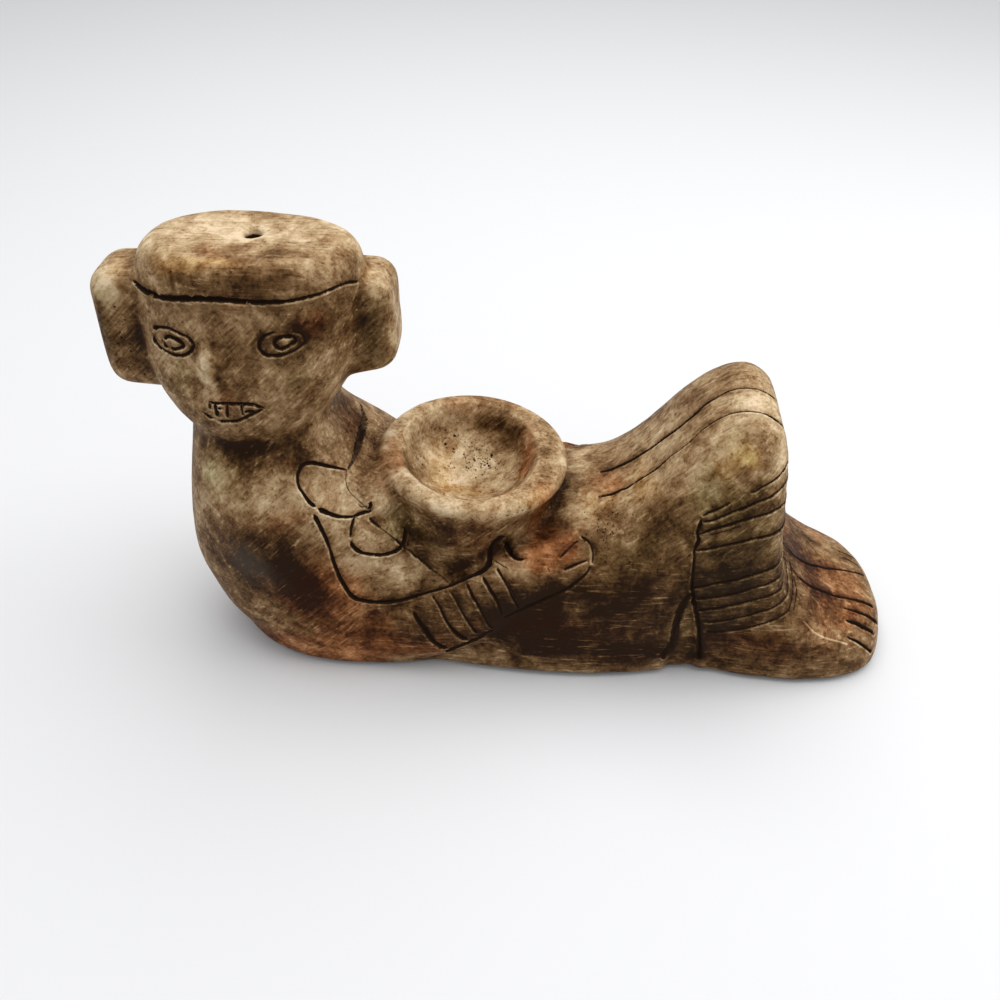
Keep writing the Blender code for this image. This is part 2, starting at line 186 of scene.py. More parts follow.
# Strokes: places along each, with its width there
HEADBAND = (
    (-113.7, -9.1, 139.9, 0.6), (-111.6, -11.5, 140, 1.6), (-109, -14.4, 140.2, 1.8),
    (-106.9, -16.4, 140.3, 1.6), (-101.9, -19.6, 140.5, 1.6), (-99, -20.9, 140.8, 1.5),
    (-93.4, -22.8, 141.9, 1.6), (-88.1, -24, 142.7, 1.6), (-81.9, -24.9, 143.1, 1.5),
    (-76, -25.5, 142.9, 1.4), (-70.2, -25.5, 142.6, 1.4), (-64.5, -24.8, 142.5, 1.1),
    (-61.7, -24.2, 142.6, 0.9), (-56.2, -22.1, 143.1, 0.9), (-53.5, -20.6, 143.3, 0.8),
    (-50.9, -18.6, 143.7, 0.8), (-48.9, -16.6, 143.8, 0.7), (-47.2, -14.4, 143.6, 0.7),
    (-46.1, -12.6, 143.1, 0.8), (-44.5, -8.6, 141.2, 0.7),
)
LEFT_EYE = (
    (-107.1, -17.6, 128.5, 1.4), (-105, -18.9, 129.8, 0.8), (-101.2, -20.9, 130.7, 0.9),
    (-99.4, -21.6, 130.5, 0.9), (-94.6, -23.4, 129.2, 0.9), (-93.7, -23.7, 128.4, 1),
    (-93.1, -23.9, 127.2, 1.2), (-93.2, -24, 126.2, 1), (-94.5, -23.8, 124.5, 1), (-96, -23.5, 123.3, 1),
    (-97.6, -23.1, 122.5, 1), (-100.9, -21.8, 121.8, 0.8), (-104.1, -20.1, 122.3, 0.6),
    (-105.6, -19.2, 122.6, 1.1), (-106.6, -18.5, 123.3, 0.9), (-107.6, -17.7, 124.1, 1.9),
    (-107.7, -17.5, 125.4, 1.9),
)
LEFT_IRIS = (
    (-103.4, -20.2, 126.4, 1.2), (-102.2, -20.7, 127.6, 0.9), (-100.7, -21.3, 128, 1.2),
    (-98, -22.4, 127.5, 1.3), (-97.1, -22.8, 126.9, 1.3), (-96.5, -23.1, 126, 1.1),
    (-97.4, -22.9, 125.2, 0.9), (-100.4, -21.8, 123.9, 1.1), (-101.6, -21.3, 123.8, 1),
)
LEFT_IRIS_SIDE = (
    (-103.7, -20.1, 124.9, 1.5), (-103.7, -20.2, 123.9, 1), (-102.6, -20.8, 124, 0.9),
)
RIGHT_EYE = (
    (-66.9, -25.4, 132.7, 0.3), (-68.1, -25.5, 132.6, 0.6), (-70.6, -25.8, 131.7, 0.9),
    (-72.3, -26, 129.9, 0.9), (-72.5, -26.1, 127.4, 1), (-71.1, -26.1, 125.5, 1.1),
    (-69.7, -26, 125.2, 1.1), (-66.2, -25.5, 125.1, 0.8), (-64.7, -25.1, 125.5, 0.7),
    (-61.7, -24.3, 126.6, 0.6), (-59.2, -23.3, 128.4, 0.5), (-59.3, -23.4, 130.3, 0.4),
    (-59.9, -23.7, 131.8, 0.4), (-61.3, -24.1, 132.3, 0.4), (-62.7, -24.5, 132.4, 0.4),
)
RIGHT_IRIS = (
    (-62.3, -24.4, 131, 1.2), (-65.1, -25.1, 131.3, 1.2), (-66.6, -25.4, 130.9, 1.1),
    (-67.7, -25.5, 130.1, 1), (-68, -25.6, 128.9, 1.1), (-67.3, -25.6, 127.9, 1.2),
    (-66.2, -25.4, 127.1, 1.2), (-62, -24.3, 129.1, 1.1), (-61.5, -24.2, 129.7, 1),
    (-62.3, -24.4, 131, 1.1),
)
MOUTH_TOP = (
    (-91.3, -26.6, 108.1, 1), (-90, -26.9, 107.9, 1), (-85, -27.6, 108.4, 1.2), (-78.2, -28, 108.7, 1),
    (-76.4, -27.9, 108.4, 1), (-73.9, -27.5, 106.9, 1),
)
MOUTH_LEFT = (
    (-91.3, -26.6, 107.7, 0.9), (-91.5, -26.5, 105.4, 1),
)
TOOTH_1 = (
    (-89.4, -27, 107.3, 1.6), (-89.3, -26.8, 104.6, 1.1), (-89.7, -26.6, 102.9, 1.4),
)
TOOTH_LINK = (
    (-89, -27, 106, 0.8), (-87.3, -27.3, 106.2, 0.8),
)
TOOTH_2 = (
    (-85.3, -27.5, 108.2, 0.7), (-86.2, -27.1, 103, 1.1),
)
TOOTH_3 = (
    (-80.8, -27.9, 108.6, 0.6), (-80.9, -27.7, 104.3, 0.6),
)
MOUTH_WEDGE = (
    (-80, -27.8, 105.6, 1.2), (-78.4, -27.8, 106, 1.2), (-76.8, -27.8, 106, 0.8),
)
MOUTH_FOOT = (
    (-89.5, -26.4, 100.8, 1.1), (-83.7, -27.2, 101.7, 1), (-81.9, -27.4, 102.4, 0.9),
    (-78.7, -27.7, 104.4, 0.9), (-74.6, -27.6, 106.6, 0.8),
)
MOUTH_CORNER = (
    (-94, -25.7, 103.2, 1.3), (-93.1, -25.9, 102.8, 1.1), (-92.3, -26, 102, 0.9), (-91, -26.2, 101.7, 0.8),
)
UPPER_LOOP = (
    (-52.2, -19.5, 77.6, 0.6), (-57.2, -21.9, 80.5, 1), (-62.6, -23.4, 83.1, 1.2),
    (-64.7, -24.3, 83.3, 1.1), (-65.9, -25.2, 82.9, 1.1), (-66.9, -27.3, 80.8, 0.8),
    (-66.8, -28.5, 79.2, 0.8), (-66.3, -29.6, 77.6, 0.8), (-63, -32.1, 73.5, 1), (-61.7, -32.5, 72.5, 1.1),
    (-60.8, -32.6, 72, 0.8),
)
UPPER_LOOP_FOOT = (
    (-60.1, -32.9, 71.3, 0.7), (-59.2, -32.9, 70.9, 1.5), (-56, -33, 69.2, 1.2), (-53.8, -32.9, 68.3, 1),
    (-51.6, -32.3, 67.7, 0.8), (-49.5, -31.6, 67.2, 0.8), (-46.5, -29.5, 67.3, 1), (-44.9, -28.8, 67.4, 1),
    (-43.6, -28.6, 67.6, 1.5),
)
LOOP_HOOK = (
    (-43.6, -27.2, 70.2, 1.3), (-43.9, -28, 69.2, 1.3), (-44.5, -28.6, 67.9, 1),
)
LOOP_FOLD = (
    (-47.9, -27.6, 69.9, 0.5), (-46.9, -28.3, 68.8, 0.7), (-44.5, -28, 69.1, 0.5),
)
LOWER_LOOP = (
    (-48.6, -31.3, 66.9, 1), (-49.1, -32.3, 66.1, 0.8), (-49.6, -33.6, 64.5, 0.8), (-50, -35.2, 61.5, 0.7),
)
LOWER_LOOP_FOOT = (
    (-49.9, -35.9, 59.9, 0.9), (-49.2, -36.3, 58.3, 1.2), (-48, -36.4, 56.9, 1.3),
    (-46.4, -36.4, 55.6, 1.1), (-42.3, -35.5, 54.1, 1.1), (-40, -34.8, 53.5, 1.1),
    (-37.8, -33.8, 53.4, 1.1), (-35.9, -32.7, 53.3, 1.1), (-34.4, -31.4, 53.7, 1.3),
    (-33.4, -30.3, 54.3, 1.6), (-33, -29.1, 55.5, 1.4), (-32.7, -26.8, 57.6, 1.6),
    (-33.2, -26.4, 58.5, 1.2),
)
ARM = (
    (-61.4, -34.1, 69.7, 1.2), (-60.5, -34.8, 68.1, 1.3), (-57.8, -36.6, 61.9, 1),
    (-56.5, -37.8, 56.8, 0.9), (-55.8, -38.5, 52.4, 1.1), (-54.3, -39.1, 46.2, 1.2),
    (-52.1, -39.5, 40.4, 1.3), (-50.9, -39.5, 38.1, 1.4), (-49.3, -39.5, 36.7, 1.4),
    (-45, -39.1, 35.2, 1.3), (-39.6, -38.2, 34.5, 1.4), (-34.2, -36.8, 34.3, 1.1),
    (-31.5, -35.9, 34.7, 0.9), (-28.7, -35.4, 35.5, 0.8), (-25.9, -35.3, 36.7, 0.9),
    (-17.2, -36.4, 41.6, 0.7), (-8.9, -36.3, 47.2, 1), (-6.5, -36.1, 48.5, 1.4), (-4.9, -35.4, 49.8, 1.8),
    (-3.9, -34, 50.9, 1.8), (-3.9, -31.6, 51.8, 1.4), (-3.6, -30.6, 53.7, 1.6), (-2.4, -30.5, 56.6, 2),
    (-0.8, -30, 58.3, 2.2), (0.9, -29.3, 58.6, 2.2),
)
THUMB = (
    (1.5, -28.6, 55.3, 2.1), (2.6, -29.6, 53.5, 1.7), (3.4, -32, 53.4, 1.4), (4.8, -33.7, 53.3, 1.1),
    (6.5, -34.3, 53.2, 0.9), (7.9, -34.2, 53.4, 0.7),
)
THUMB_LINE = (
    (-2.3, -33.3, 51.7, 0.6), (0.9, -35.7, 51.3, 0.5), (2.6, -36.5, 50.7, 0.4),
)
CRACK = (
    (-52.2, -19.6, 77.5, 0.4), (-52.2, -22.3, 76.2, 0.4), (-51.6, -24.5, 74.6, 0.4),
    (-50.6, -25.7, 73, 0.4), (-47.3, -27.1, 70, 0.3), (-44.2, -28.6, 67.9, 0.3),
)
CRACK_FOOT = (
    (-44.2, -29.6, 65.7, 0.7), (-43.3, -30, 64.3, 1.1), (-39.1, -30.5, 60.5, 0.3),
    (-37.2, -30.6, 58.5, 0.5), (-34.1, -30.5, 54.9, 0.9), (-32.5, -30.4, 52.6, 0.5),
    (-30.9, -29.8, 51.2, 0.7), (-29.7, -29.8, 48.9, 0.7), (-28.4, -29.3, 47.6, 0.8),
    (-24.8, -29.8, 43.5, 0.7), (-21.2, -31.3, 41.7, 0.5), (-17.7, -35.4, 42.1, 0.4),
)
FINGERTIPS = (
    (26.9, -25.9, 57.1, 0.7), (28.2, -26.8, 56.8, 0.9), (29.9, -28.1, 56.2, 0.5), (30.7, -29.8, 55, 0.4),
    (31.1, -31.5, 53.4, 0.4), (30.8, -33, 51.6, 0.5),
)
FINGER_GAP_1 = (
    (19.9, -33.3, 53.6, 0.5), (21.3, -31.9, 54.5, 0.7), (24.6, -28, 55.6, 0.4), (26.2, -27.3, 56.2, 0.4),
)
FINGER_GAP_2 = (
    (21.5, -34.9, 49.7, 1), (27.4, -32.8, 51.7, 0.7), (29.1, -32.5, 52.1, 0.5),
)
HAND_FOLD = (
    (15.7, -35.6, 51.4, 0.4), (16.8, -36.1, 49.6, 0.4),
)
FOREARM_UNDERSIDE = (
    (30.2, -33.6, 50.7, 0.5), (29.6, -34.5, 49.2, 0.7), (28.3, -35.3, 47.6, 0.7), (23.4, -36.8, 43.2, 1.1),
    (18.8, -37.4, 40.2, 0.9), (11.4, -38.1, 36.1, 1.2), (1.1, -39.2, 29.7, 0.6),
)
ELBOW_LINE = (
    (-2.4, -38.7, 23, 1.4), (-4.9, -39.1, 21.7, 1.4), (-7, -39, 19.2, 1.7), (-9.2, -39.2, 18, 2),
    (-14.3, -39.3, 14.7, 1.7), (-16.8, -39.3, 13.2, 2.1), (-19.1, -38.5, 10.3, 2.1),
)
BRACELET_1 = (
    (-30.1, -38.8, 30.7, 1.2), (-29.3, -39.5, 29, 1.2), (-27.9, -40.1, 26.7, 1.7),
    (-26.3, -40.5, 23.5, 2.1), (-23.4, -40.4, 17.5, 1.7), (-21.3, -40.1, 14.9, 2.1),
    (-18.9, -39.7, 13.8, 1.7),
)
BRACELET_2 = (
    (-23.4, -36.7, 37.2, 0.7), (-21.8, -38.5, 35.7, 0.6), (-20.4, -39.5, 33.4, 0.7),
    (-19.4, -40.1, 30.6, 0.8), (-18.4, -40.4, 27.9, 1), (-16.7, -40.4, 24.6, 1.3), (-15, -40.4, 22, 1.7),
    (-13.3, -40.2, 20.1, 2.1), (-11.6, -39.8, 18.5, 1.8),
)
BRACELET_3 = (
    (-16.8, -38, 39.8, 0.5), (-15.4, -38.9, 38.4, 0.5), (-13.4, -40, 33.8, 0.5), (-10.7, -40.2, 27.7, 0.8),
    (-8, -39.8, 22.3, 1.1),
)
BRACELET_4 = (
    (-11.3, -37.6, 44, 0.7), (-10.2, -38.6, 42.3, 0.8), (-9.2, -39.4, 39.7, 0.9), (-7.8, -39.8, 37.3, 0.8),
    (-5.4, -40, 30.7, 0.5), (-4.1, -39.7, 27, 0.6), (-2.4, -38.9, 24, 0.7),
)
BRACELET_5 = (
    (-5.8, -37.3, 47.3, 1.1), (-4.4, -38.5, 45.3, 0.9), (-3, -39.2, 42.7, 1.1), (-1.6, -39.4, 40.2, 1.1),
    (-0.6, -39.5, 37.4, 0.9), (0.8, -39.4, 31.5, 0.5),
)
BRACELET_6 = (
    (-1.1, -36, 50.5, 0.9), (0.3, -37.5, 48.8, 0.7), (1.7, -38.4, 46.4, 0.5), (3.1, -38.9, 43.7, 0.5),
    (4.1, -39.1, 40.6, 0.7), (6.6, -38.7, 34.5, 0.8),
)
BRACELET_7 = (
    (1, -37.8, 48.2, 0.4), (3.1, -38.6, 45.3, 0.4), (5.5, -39, 39.1, 0.4),
)
SEAM = (
    (-53.6, 17.6, 79.7, 0.7), (-52.3, 14, 79.6, 1), (-51.1, 10.5, 79.1, 2.7), (-50.5, 6.6, 78.8, 3.4),
    (-50.2, -4, 78.6, 3), (-50.4, -8.1, 78.6, 2.6), (-50.5, -12.1, 78.2, 2), (-50.9, -15.1, 77.9, 1.1),
    (-51.9, -19.1, 77.5, 1),
)
SEAM_CORE = (
    (-51.1, 9.6, 79.1, 1.1), (-50.7, 5.6, 79, 1.9), (-50.2, 2, 78.5, 2.2), (-50.2, -3, 78.6, 2.1),
    (-50.6, -8.3, 78.7, 2.2), (-50.7, -11.8, 78.4, 1.3),
)
FAR_MIDDLE = (
    (33.7, 3.3, 62.3, 0.9), (37.2, 2.8, 63.8, 1.2), (40.6, 2.7, 65.8, 1.3), (43.9, 2.1, 68.4, 1.2),
    (47.1, 1.7, 71.4, 1.2), (53.2, 0.2, 78.9, 1), (59, -1.6, 86.5, 1.2), (64, -1.7, 92.4, 1.2),
    (66.1, -0.7, 94.7, 1), (70.8, -0.8, 98.8, 0.8), (73.2, -0.5, 100.5, 0.6), (76.8, -1.4, 102.4, 0.5),
    (79.8, -2.4, 103.1, 0.5), (82.3, -2.6, 103.1, 0.6), (84.6, -3.3, 102.5, 0.8), (87, -3.8, 101.2, 1),
    (89, -3.3, 99.2, 0.8),
)
NEAR_MIDDLE = (
    (32.7, -10.3, 61.8, 0.8), (35.1, -10.3, 62.6, 1.2), (37.4, -10.9, 63.6, 1.2), (40.1, -10.5, 65.2, 1.2),
    (42.3, -11, 66.8, 1), (44.9, -10.6, 69, 0.9), (47.1, -10.7, 71.2, 0.9), (49.5, -11.2, 73.8, 0.7),
    (51, -11.7, 75.6, 0.9), (55.4, -11.9, 81.4, 0.5), (58.3, -12.6, 84.9, 0.4), (61.1, -12.7, 88.4, 0.4),
    (64, -11.8, 91.9, 0.4), (66.9, -11.5, 94.9, 0.4), (69.8, -11.5, 97.4, 0.5), (72.6, -11.8, 99.5, 0.4),
    (75.5, -12.7, 101, 0.4), (78.4, -13.6, 101.9, 0.4), (81.4, -14.3, 102.1, 0.4), (84, -14.8, 101.4, 0.6),
    (86.3, -15.1, 100.1, 0.9), (88.6, -15, 98.2, 0.9), (90, -14.5, 96.1, 0.8),
)
SHIN_A = (
    (79.4, -31.9, 83.1, 0.5), (80.9, -31.5, 83.7, 0.5), (82.1, -31, 84.6, 0.4), (85.6, -29.5, 86, 0.6),
    (87.5, -28.2, 86.8, 0.5), (89.4, -26.2, 87.9, 0.6),
)
SHIN_B = (
    (65.1, -33.2, 74.1, 0.5), (66.5, -33.2, 75.4, 0.7), (70.3, -33.1, 77.6, 0.6), (73.2, -32.8, 79.7, 0.3),
)
SHIN_B2 = (
    (65.2, -33.9, 72.2, 0.5), (68, -34.1, 72.9, 0.7), (74.8, -33.6, 77, 0.7), (76.9, -33.4, 77.7, 1.1),
    (81.4, -32.5, 79.9, 0.7), (85.8, -31.1, 81.1, 0.7), (87.7, -30, 82.2, 0.6), (89.1, -28.9, 82.8, 0.6),
    (90.5, -27, 83.2, 0.8),
)
SHIN_C = (
    (63.5, -34.8, 67.3, 0.7), (65.4, -34.9, 67.9, 0.7), (67.1, -34.8, 69.2, 0.9), (76.2, -34.4, 73.1, 1),
    (80.5, -33.8, 74.5, 0.8), (85.6, -32.5, 75.4, 0.7), (87.9, -31.4, 76.1, 0.8), (89.6, -30.3, 76.5, 0.8),
    (91.8, -27.3, 76.2, 0.8),
)
SHIN_C2 = (
    (64.8, -35, 67.1, 0.4), (69.5, -35.2, 68.1, 0.5), (77.7, -34.5, 71.6, 0.5),
)
SHIN_D = (
    (64.1, -35.9, 61.3, 0.6), (68.9, -35.9, 62.4, 0.8), (74.8, -35.5, 64.3, 0.8), (83, -34.4, 66.5, 0.9),
    (88, -32.9, 66.9, 1), (90, -31.8, 67.4, 1.3), (91.5, -30.2, 67.5, 1.2),
)
SHIN_E = (
    (64.7, -36.9, 45.4, 1.2), (69.3, -36.6, 46.3, 0.9), (71.8, -36.4, 47.4, 0.9), (79.7, -35.7, 49.1, 1),
    (81.9, -35.3, 50, 1.2), (84.2, -34.8, 50.4, 1), (88.8, -33.6, 51.6, 0.9), (91.2, -32.6, 52.1, 1),
    (93.1, -31.2, 52.4, 1),
)
SHIN_F = (
    (66.3, -36.9, 40.2, 1), (74, -36.3, 41, 0.8), (79.3, -35.8, 42.4, 0.9), (84.6, -34.8, 44.1, 0.8),
    (87.2, -34.2, 44.6, 0.6), (90.9, -33.2, 45.5, 0.9), (93, -32.2, 46, 0.9), (95.2, -29.8, 45.5, 0.9),
)
SHIN_G = (
    (67.7, -36.8, 34.6, 1.2), (75.5, -36.2, 35.7, 0.9), (80.8, -35.5, 37.2, 0.9), (83.5, -35, 37.6, 0.8),
    (91.5, -33.6, 39.7, 0.8), (94, -32.5, 40.2, 0.8), (96.5, -29.8, 39.8, 1),
)
SHIN_H = (
    (71.6, -36.5, 28.5, 0.9), (76.7, -36, 29.1, 0.8), (84.9, -34.9, 30.6, 0.6), (90.1, -34.4, 32.9, 0.8),
    (92.8, -34, 33.6, 0.7), (95.3, -32.9, 34.3, 0.7), (97.6, -30.6, 34.6, 0.8), (100, -27.3, 34.3, 0.5),
)
SHIN_I = (
    (72.2, -36.4, 23.9, 0.7), (74.8, -36.1, 23.3, 0.8), (80.4, -35.5, 23.4, 0.7), (85.8, -35, 24.8, 0.6),
    (93.6, -34.5, 28.2, 0.6), (96, -33.9, 29.2, 0.5), (98.5, -32.7, 30.1, 0.5), (100.3, -31.4, 30.6, 0.4),
)
CALF = (
    (64.8, -33.5, 73.1, 0.5), (64.5, -34, 71.4, 1.1), (63.8, -34.7, 68, 0.8), (64.7, -35.3, 65.6, 1.3),
    (63.5, -36, 60.9, 0.6), (63.9, -36.2, 59.3, 0.6), (64.3, -36.8, 49, 0.8), (64.9, -36.9, 44, 1.4),
)
THIGH_EDGE = (
    (64.4, -37, 42.6, 1.7), (63.3, -37, 40.2, 2.1), (62.3, -37.1, 36.9, 2.4), (61.7, -37.2, 33, 2.3),
    (61.4, -37.1, 24.9, 2.6), (61.7, -37, 18.1, 2.7), (61.2, -36.9, 15.4, 3.2), (60.1, -36.9, 12.6, 4),
    (59, -36.8, 9.8, 4.1),
)
HEEL_EDGE = (
    (64.9, -36.9, 44, 1.3), (65.9, -36.9, 40.7, 1.3), (66.1, -36.9, 38.3, 1.7), (68, -36.8, 32.4, 1.4),
    (69.8, -36.6, 24.8, 1.2), (71.4, -35.9, 12.7, 2), (71.2, -35.4, 7.9, 2.2),
)
FOOT_FAR = (
    (104.4, -2.6, 34.4, 0.7), (105.7, -4.8, 33.4, 0.9), (107.7, -5.4, 31.8, 1.2), (110.5, -4.6, 29.4, 1.3),
    (113.8, -3.2, 26.7, 1.3), (117.8, -0.9, 24, 1.2), (121.3, 0.2, 22.2, 1), (125, 1.7, 20.6, 0.9),
    (131.9, 3.4, 18, 0.7), (135.5, 4.4, 16.3, 0.9), (138.5, 5.4, 14.1, 0.9),
)
FAR_TOE_1 = (
    (129.5, 14.4, 18.5, 0.6), (134.7, 14.4, 16.1, 0.8), (138, 14.6, 13.5, 0.4),
)
FAR_TOE_2 = (
    (130.4, 11.1, 18.4, 0.6), (134.5, 10.4, 16.6, 0.8), (137.8, 9.4, 14.5, 0.8),
)
FOOT_NEAR = (
    (103.4, -12.4, 34.9, 0.6), (104.6, -14.9, 33.8, 0.7), (106.4, -16.3, 32.3, 1.1),
    (108.5, -16.5, 30.6, 1.3), (111.1, -16.2, 28.4, 1.3), (117.4, -14.4, 23.9, 1.3),
    (123.2, -13.8, 21.1, 1.1), (126.6, -12.8, 19.7, 0.9), (132.8, -12, 17.4, 1.3),
    (135.3, -11.8, 16.1, 1.4), (138.1, -11.3, 14, 1.4),
)
TOE_1 = (
    (124.2, -18.4, 20.1, 0.5), (129.1, -17.9, 18.2, 1.1), (133.9, -17.9, 15.9, 1.4),
    (136.6, -17.9, 13.9, 1.7), (139.2, -16.8, 10.8, 1.4),
)
TOE_2 = (
    (124.5, -23.5, 18.9, 0.9), (128.9, -23.2, 17, 1.7), (130.9, -23.6, 15.9, 1.5),
    (133.4, -23.4, 14.3, 1.3), (136.4, -22.7, 11.6, 1.4),
)
TOE_3 = (
    (124.2, -29.3, 16.4, 0.5), (128.3, -29.1, 14, 1.1), (130.4, -29.1, 12.4, 1), (132.8, -28.9, 10.1, 0.9),
    (135.2, -27.7, 7.1, 1.1),
)
SCUFF_RIDGE = (
    (106.1, -32, 26.5, 1), (110.3, -33, 22.2, 1), (113.2, -32.9, 20.2, 0.9), (115.6, -32.6, 18.7, 0.9),
    (121.3, -31.6, 16.1, 0.9), (124.5, -31.3, 14.4, 0.9),
)
ANKLE_CREASE = (
    (103.9, -16.8, 34.2, 0.7), (104.5, -22.8, 32.6, 0.6), (103.6, -26.9, 31.7, 0.5),
    (102.2, -30.8, 30.1, 0.4),
)

# Recess between thigh and heel: height, half width and depth
HEEL_GAP_X = 65.5
HEEL_GAP = ((42, 0.8, 0.4), (34, 1.2, 0.7), (27, 2.2, 1.1), (18, 3.6, 1.6), (8, 4.8, 2), (-6, 5.2, 2.2))

# Eyeballs, raised inside the irises: middle, radius and height
EYEBALLS = (((-99.8, -21.7, 126), 2.0, 0.55), ((-64.8, -25, 129.2), 2.3, 0.55))

# Ways of cutting a stroke: depth as a share of its width, height of the burr, and wash left in it
GOUGE = (0.95, 0.55, 1.0)
CUT = (0.85, 0.5, 1.0)
SCORE = (0.75, 0.42, 0.85)
HAIRLINE = (0.7, 0.16, 0.65)
CHANNEL = (0.42, 0.1, 0.66)
FOLD = (0.5, 0.3, 1.0)
SCUFF = (-0.35, 0.0, 0.0)
STROKE_STEP = 0.2
# A stroke is evened out over this many steps to each side.
STROKE_EVEN = 3
WIDEST = 4.2
# Burrs stand mostly on the lower side of a stroke and on its side towards the head.
BURR_SIDE = (-0.45, -0.1, -0.89)

# Pits in the clay: middle of the cluster, its reach, how many and how wide
PITTED = (
    ((-14, 14, 61), (10, 9, 4), 110, 0.36),
    ((-9, 11, 60), (6, 5, 1.5), 40, 0.46),
    ((-23, 16, 65), (5, 4, 2), 12, 0.7),
    ((-10, 12, 60), (6, 4, 1), 7, 1.0),
    ((-31, 1, 67), (3, 6, 5), 22, 0.46),
    ((-15, 0, 60), (14, 11, 3), 90, 0.32),
    ((36, -24, 60), (9, 8, 6), 44, 0.42),
    ((50, -36, 56), (9, 4, 9), 26, 0.4),
    ((-122, -10, 112), (4, 6, 16), 26, 0.5),
    ((-100, -20, 145), (16, 5, 5), 12, 0.4),
    ((0, -34, 70), (20, 5, 4), 26, 0.34),
)


def curve_through(rows, count):
    """This many rows, evenly spread along a Catmull-Rom curve through the given ones."""
    rows = np.array(rows, float)
    ends = np.vstack([2 * rows[0] - rows[1], rows, 2 * rows[-1] - rows[-2]])
    places = np.linspace(0, len(rows) - 1, count)
    first = np.minimum(places.astype(int), len(rows) - 2)
    t = (places - first)[:, None]
    a, b, c, d = (ends[first + step] for step in range(4))
    bend = (c - a) * t + (2 * a - 5 * b + 4 * c - d) * t**2 + (3 * b - a - 3 * c + d) * t**3
    return b + bend / 2


def rounded(angle, powers):
    """A point of a superellipse of half size 1, with its powers in front and behind: 2 is round."""
    x, y = math.cos(angle), math.sin(angle)
    power = powers[0] if x > 0 else powers[1]
    return (
        math.copysign(abs(x) ** (2 / power), x),
        math.copysign(abs(y) ** (2 / power), y),
    )


def lump(rows, section, powers):
    """A closed lump of clay through the rows: a ball whose rings are pushed to their sections."""
    bm = bmesh.new()
    rings = LOFT_ROWS + 1
    bmesh.ops.create_uvsphere(bm, u_segments=LOFT_SEGMENTS, v_segments=rings, radius=1)
    rows = curve_through(rows, LOFT_ROWS)
    for vertex in bm.verts:
        ring = round(math.acos(max(-1, min(1, -vertex.co.z))) / math.pi * rings)
        row = rows[max(1, min(LOFT_ROWS, ring)) - 1]
        angle = math.atan2(vertex.co.y, vertex.co.x)
        across, along = (0, 0) if ring in (0, rings) else rounded(angle, powers)
        vertex.co = Vector(section(row, across, along)) * MM
    bmesh.ops.recalc_face_normals(bm, faces=bm.faces)
    return bm


def level_section(row, across, along):
    height, back, front, half_width = row
    x = (back + front) / 2 + across * (front - back) / 2
    return x, along * half_width, height


def upright_section(row, across, along):
    x, top, half_width = row
    middle = (top - SUNK) / 2
    return x, across * half_width, middle + along * (top - middle)


def head_section(row, across, along):
    height, middle, half_width, front, back = row
    return middle + across * half_width, along * (back if along > 0 else -front), height


def head_placing():
    turn = Matrix.Rotation(math.radians(HEAD_TURN), 4, "Z")
    return Matrix.Translation(Vector((*HEAD_AT, 0)) * MM) @ turn


def head():
    bm = lump(HEAD, head_section, (2.3, 2.3))
    bmesh.ops.transform(bm, matrix=head_placing(), verts=bm.verts)
    return bm


def ball(middle, half_sizes, lean):
    """An oval ball of clay, leaned by this many degrees about X."""
    bm = bmesh.new()
    bmesh.ops.create_uvsphere(bm, u_segments=32, v_segments=20, radius=1)
    bmesh.ops.scale(bm, vec=Vector(half_sizes) * MM, verts=bm.verts)
    placing = Matrix.Translation(Vector(middle) * MM) @ Matrix.Rotation(math.radians(lean), 4, "X")
    bmesh.ops.transform(bm, matrix=placing, verts=bm.verts)
    return bm


def nose():
    bm = ball(*NOSE)
    bmesh.ops.transform(bm, matrix=head_placing(), verts=bm.verts)
    return bm


def ear(middle, half_sizes, lean, corners):
    """A block with well-rounded edges, which is less tall at its outer side."""
    bm = bmesh.new()
    bmesh.ops.create_cube(bm, size=2)
    bmesh.ops.scale(bm, vec=Vector(half_sizes) * MM, verts=bm.verts)
    outward = math.copysign(1, middle[0] - HEAD_AT[0])
    for vertex in bm.verts:
        if vertex.co.x * outward > 0:
            vertex.co.z += (-corners[0] if vertex.co.z > 0 else corners[1]) * MM
    bmesh.ops.bevel(
        bm,
        geom=bm.edges[:],
        offset=min(half_sizes) * 0.62 * MM,
        segments=6,
        profile=0.5,
        affect="EDGES",
        material=-1,
    )
    placing = Matrix.Translation(Vector(middle) * MM) @ Matrix.Rotation(math.radians(lean), 4, "Y")
    bmesh.ops.transform(bm, matrix=placing, verts=bm.verts)
    return bm


def forearm(side):
    """The forearm and hand in relief on one side: -1 is the near side and 1 the far side."""

    def section(row, across, along):
        x, y, z, half_height, half_thickness = row
        slope = math.radians(35)
        return (
            x - along * half_height * math.sin(slope),
            -side * y + across * half_thickness,
            z + along * half_height * math.cos(slope),
        )

    return lump(FOREARM, section, (2.6, 2.6))


def thrown(profile, placing, segments=96):
    """A body thrown on the wheel: (radius, height) points down its outside, spun about Z."""
    bm = bmesh.new()
    points = [bm.verts.new((radius * MM, 0, height * MM)) for radius, height in profile]
    edges = [bm.edges.new(pair) for pair in zip(points, points[1:])]
    bmesh.ops.spin(
        bm,
        geom=points + edges,
        cent=(0, 0, 0),
        axis=(0, 0, 1),
        steps=segments,
        angle=math.tau,
        use_merge=True,
    )
    bmesh.ops.remove_doubles(bm, verts=bm.verts, dist=1e-6)
    bmesh.ops.recalc_face_normals(bm, faces=bm.faces)
    bmesh.ops.transform(bm, matrix=placing, verts=bm.verts)
    return bm


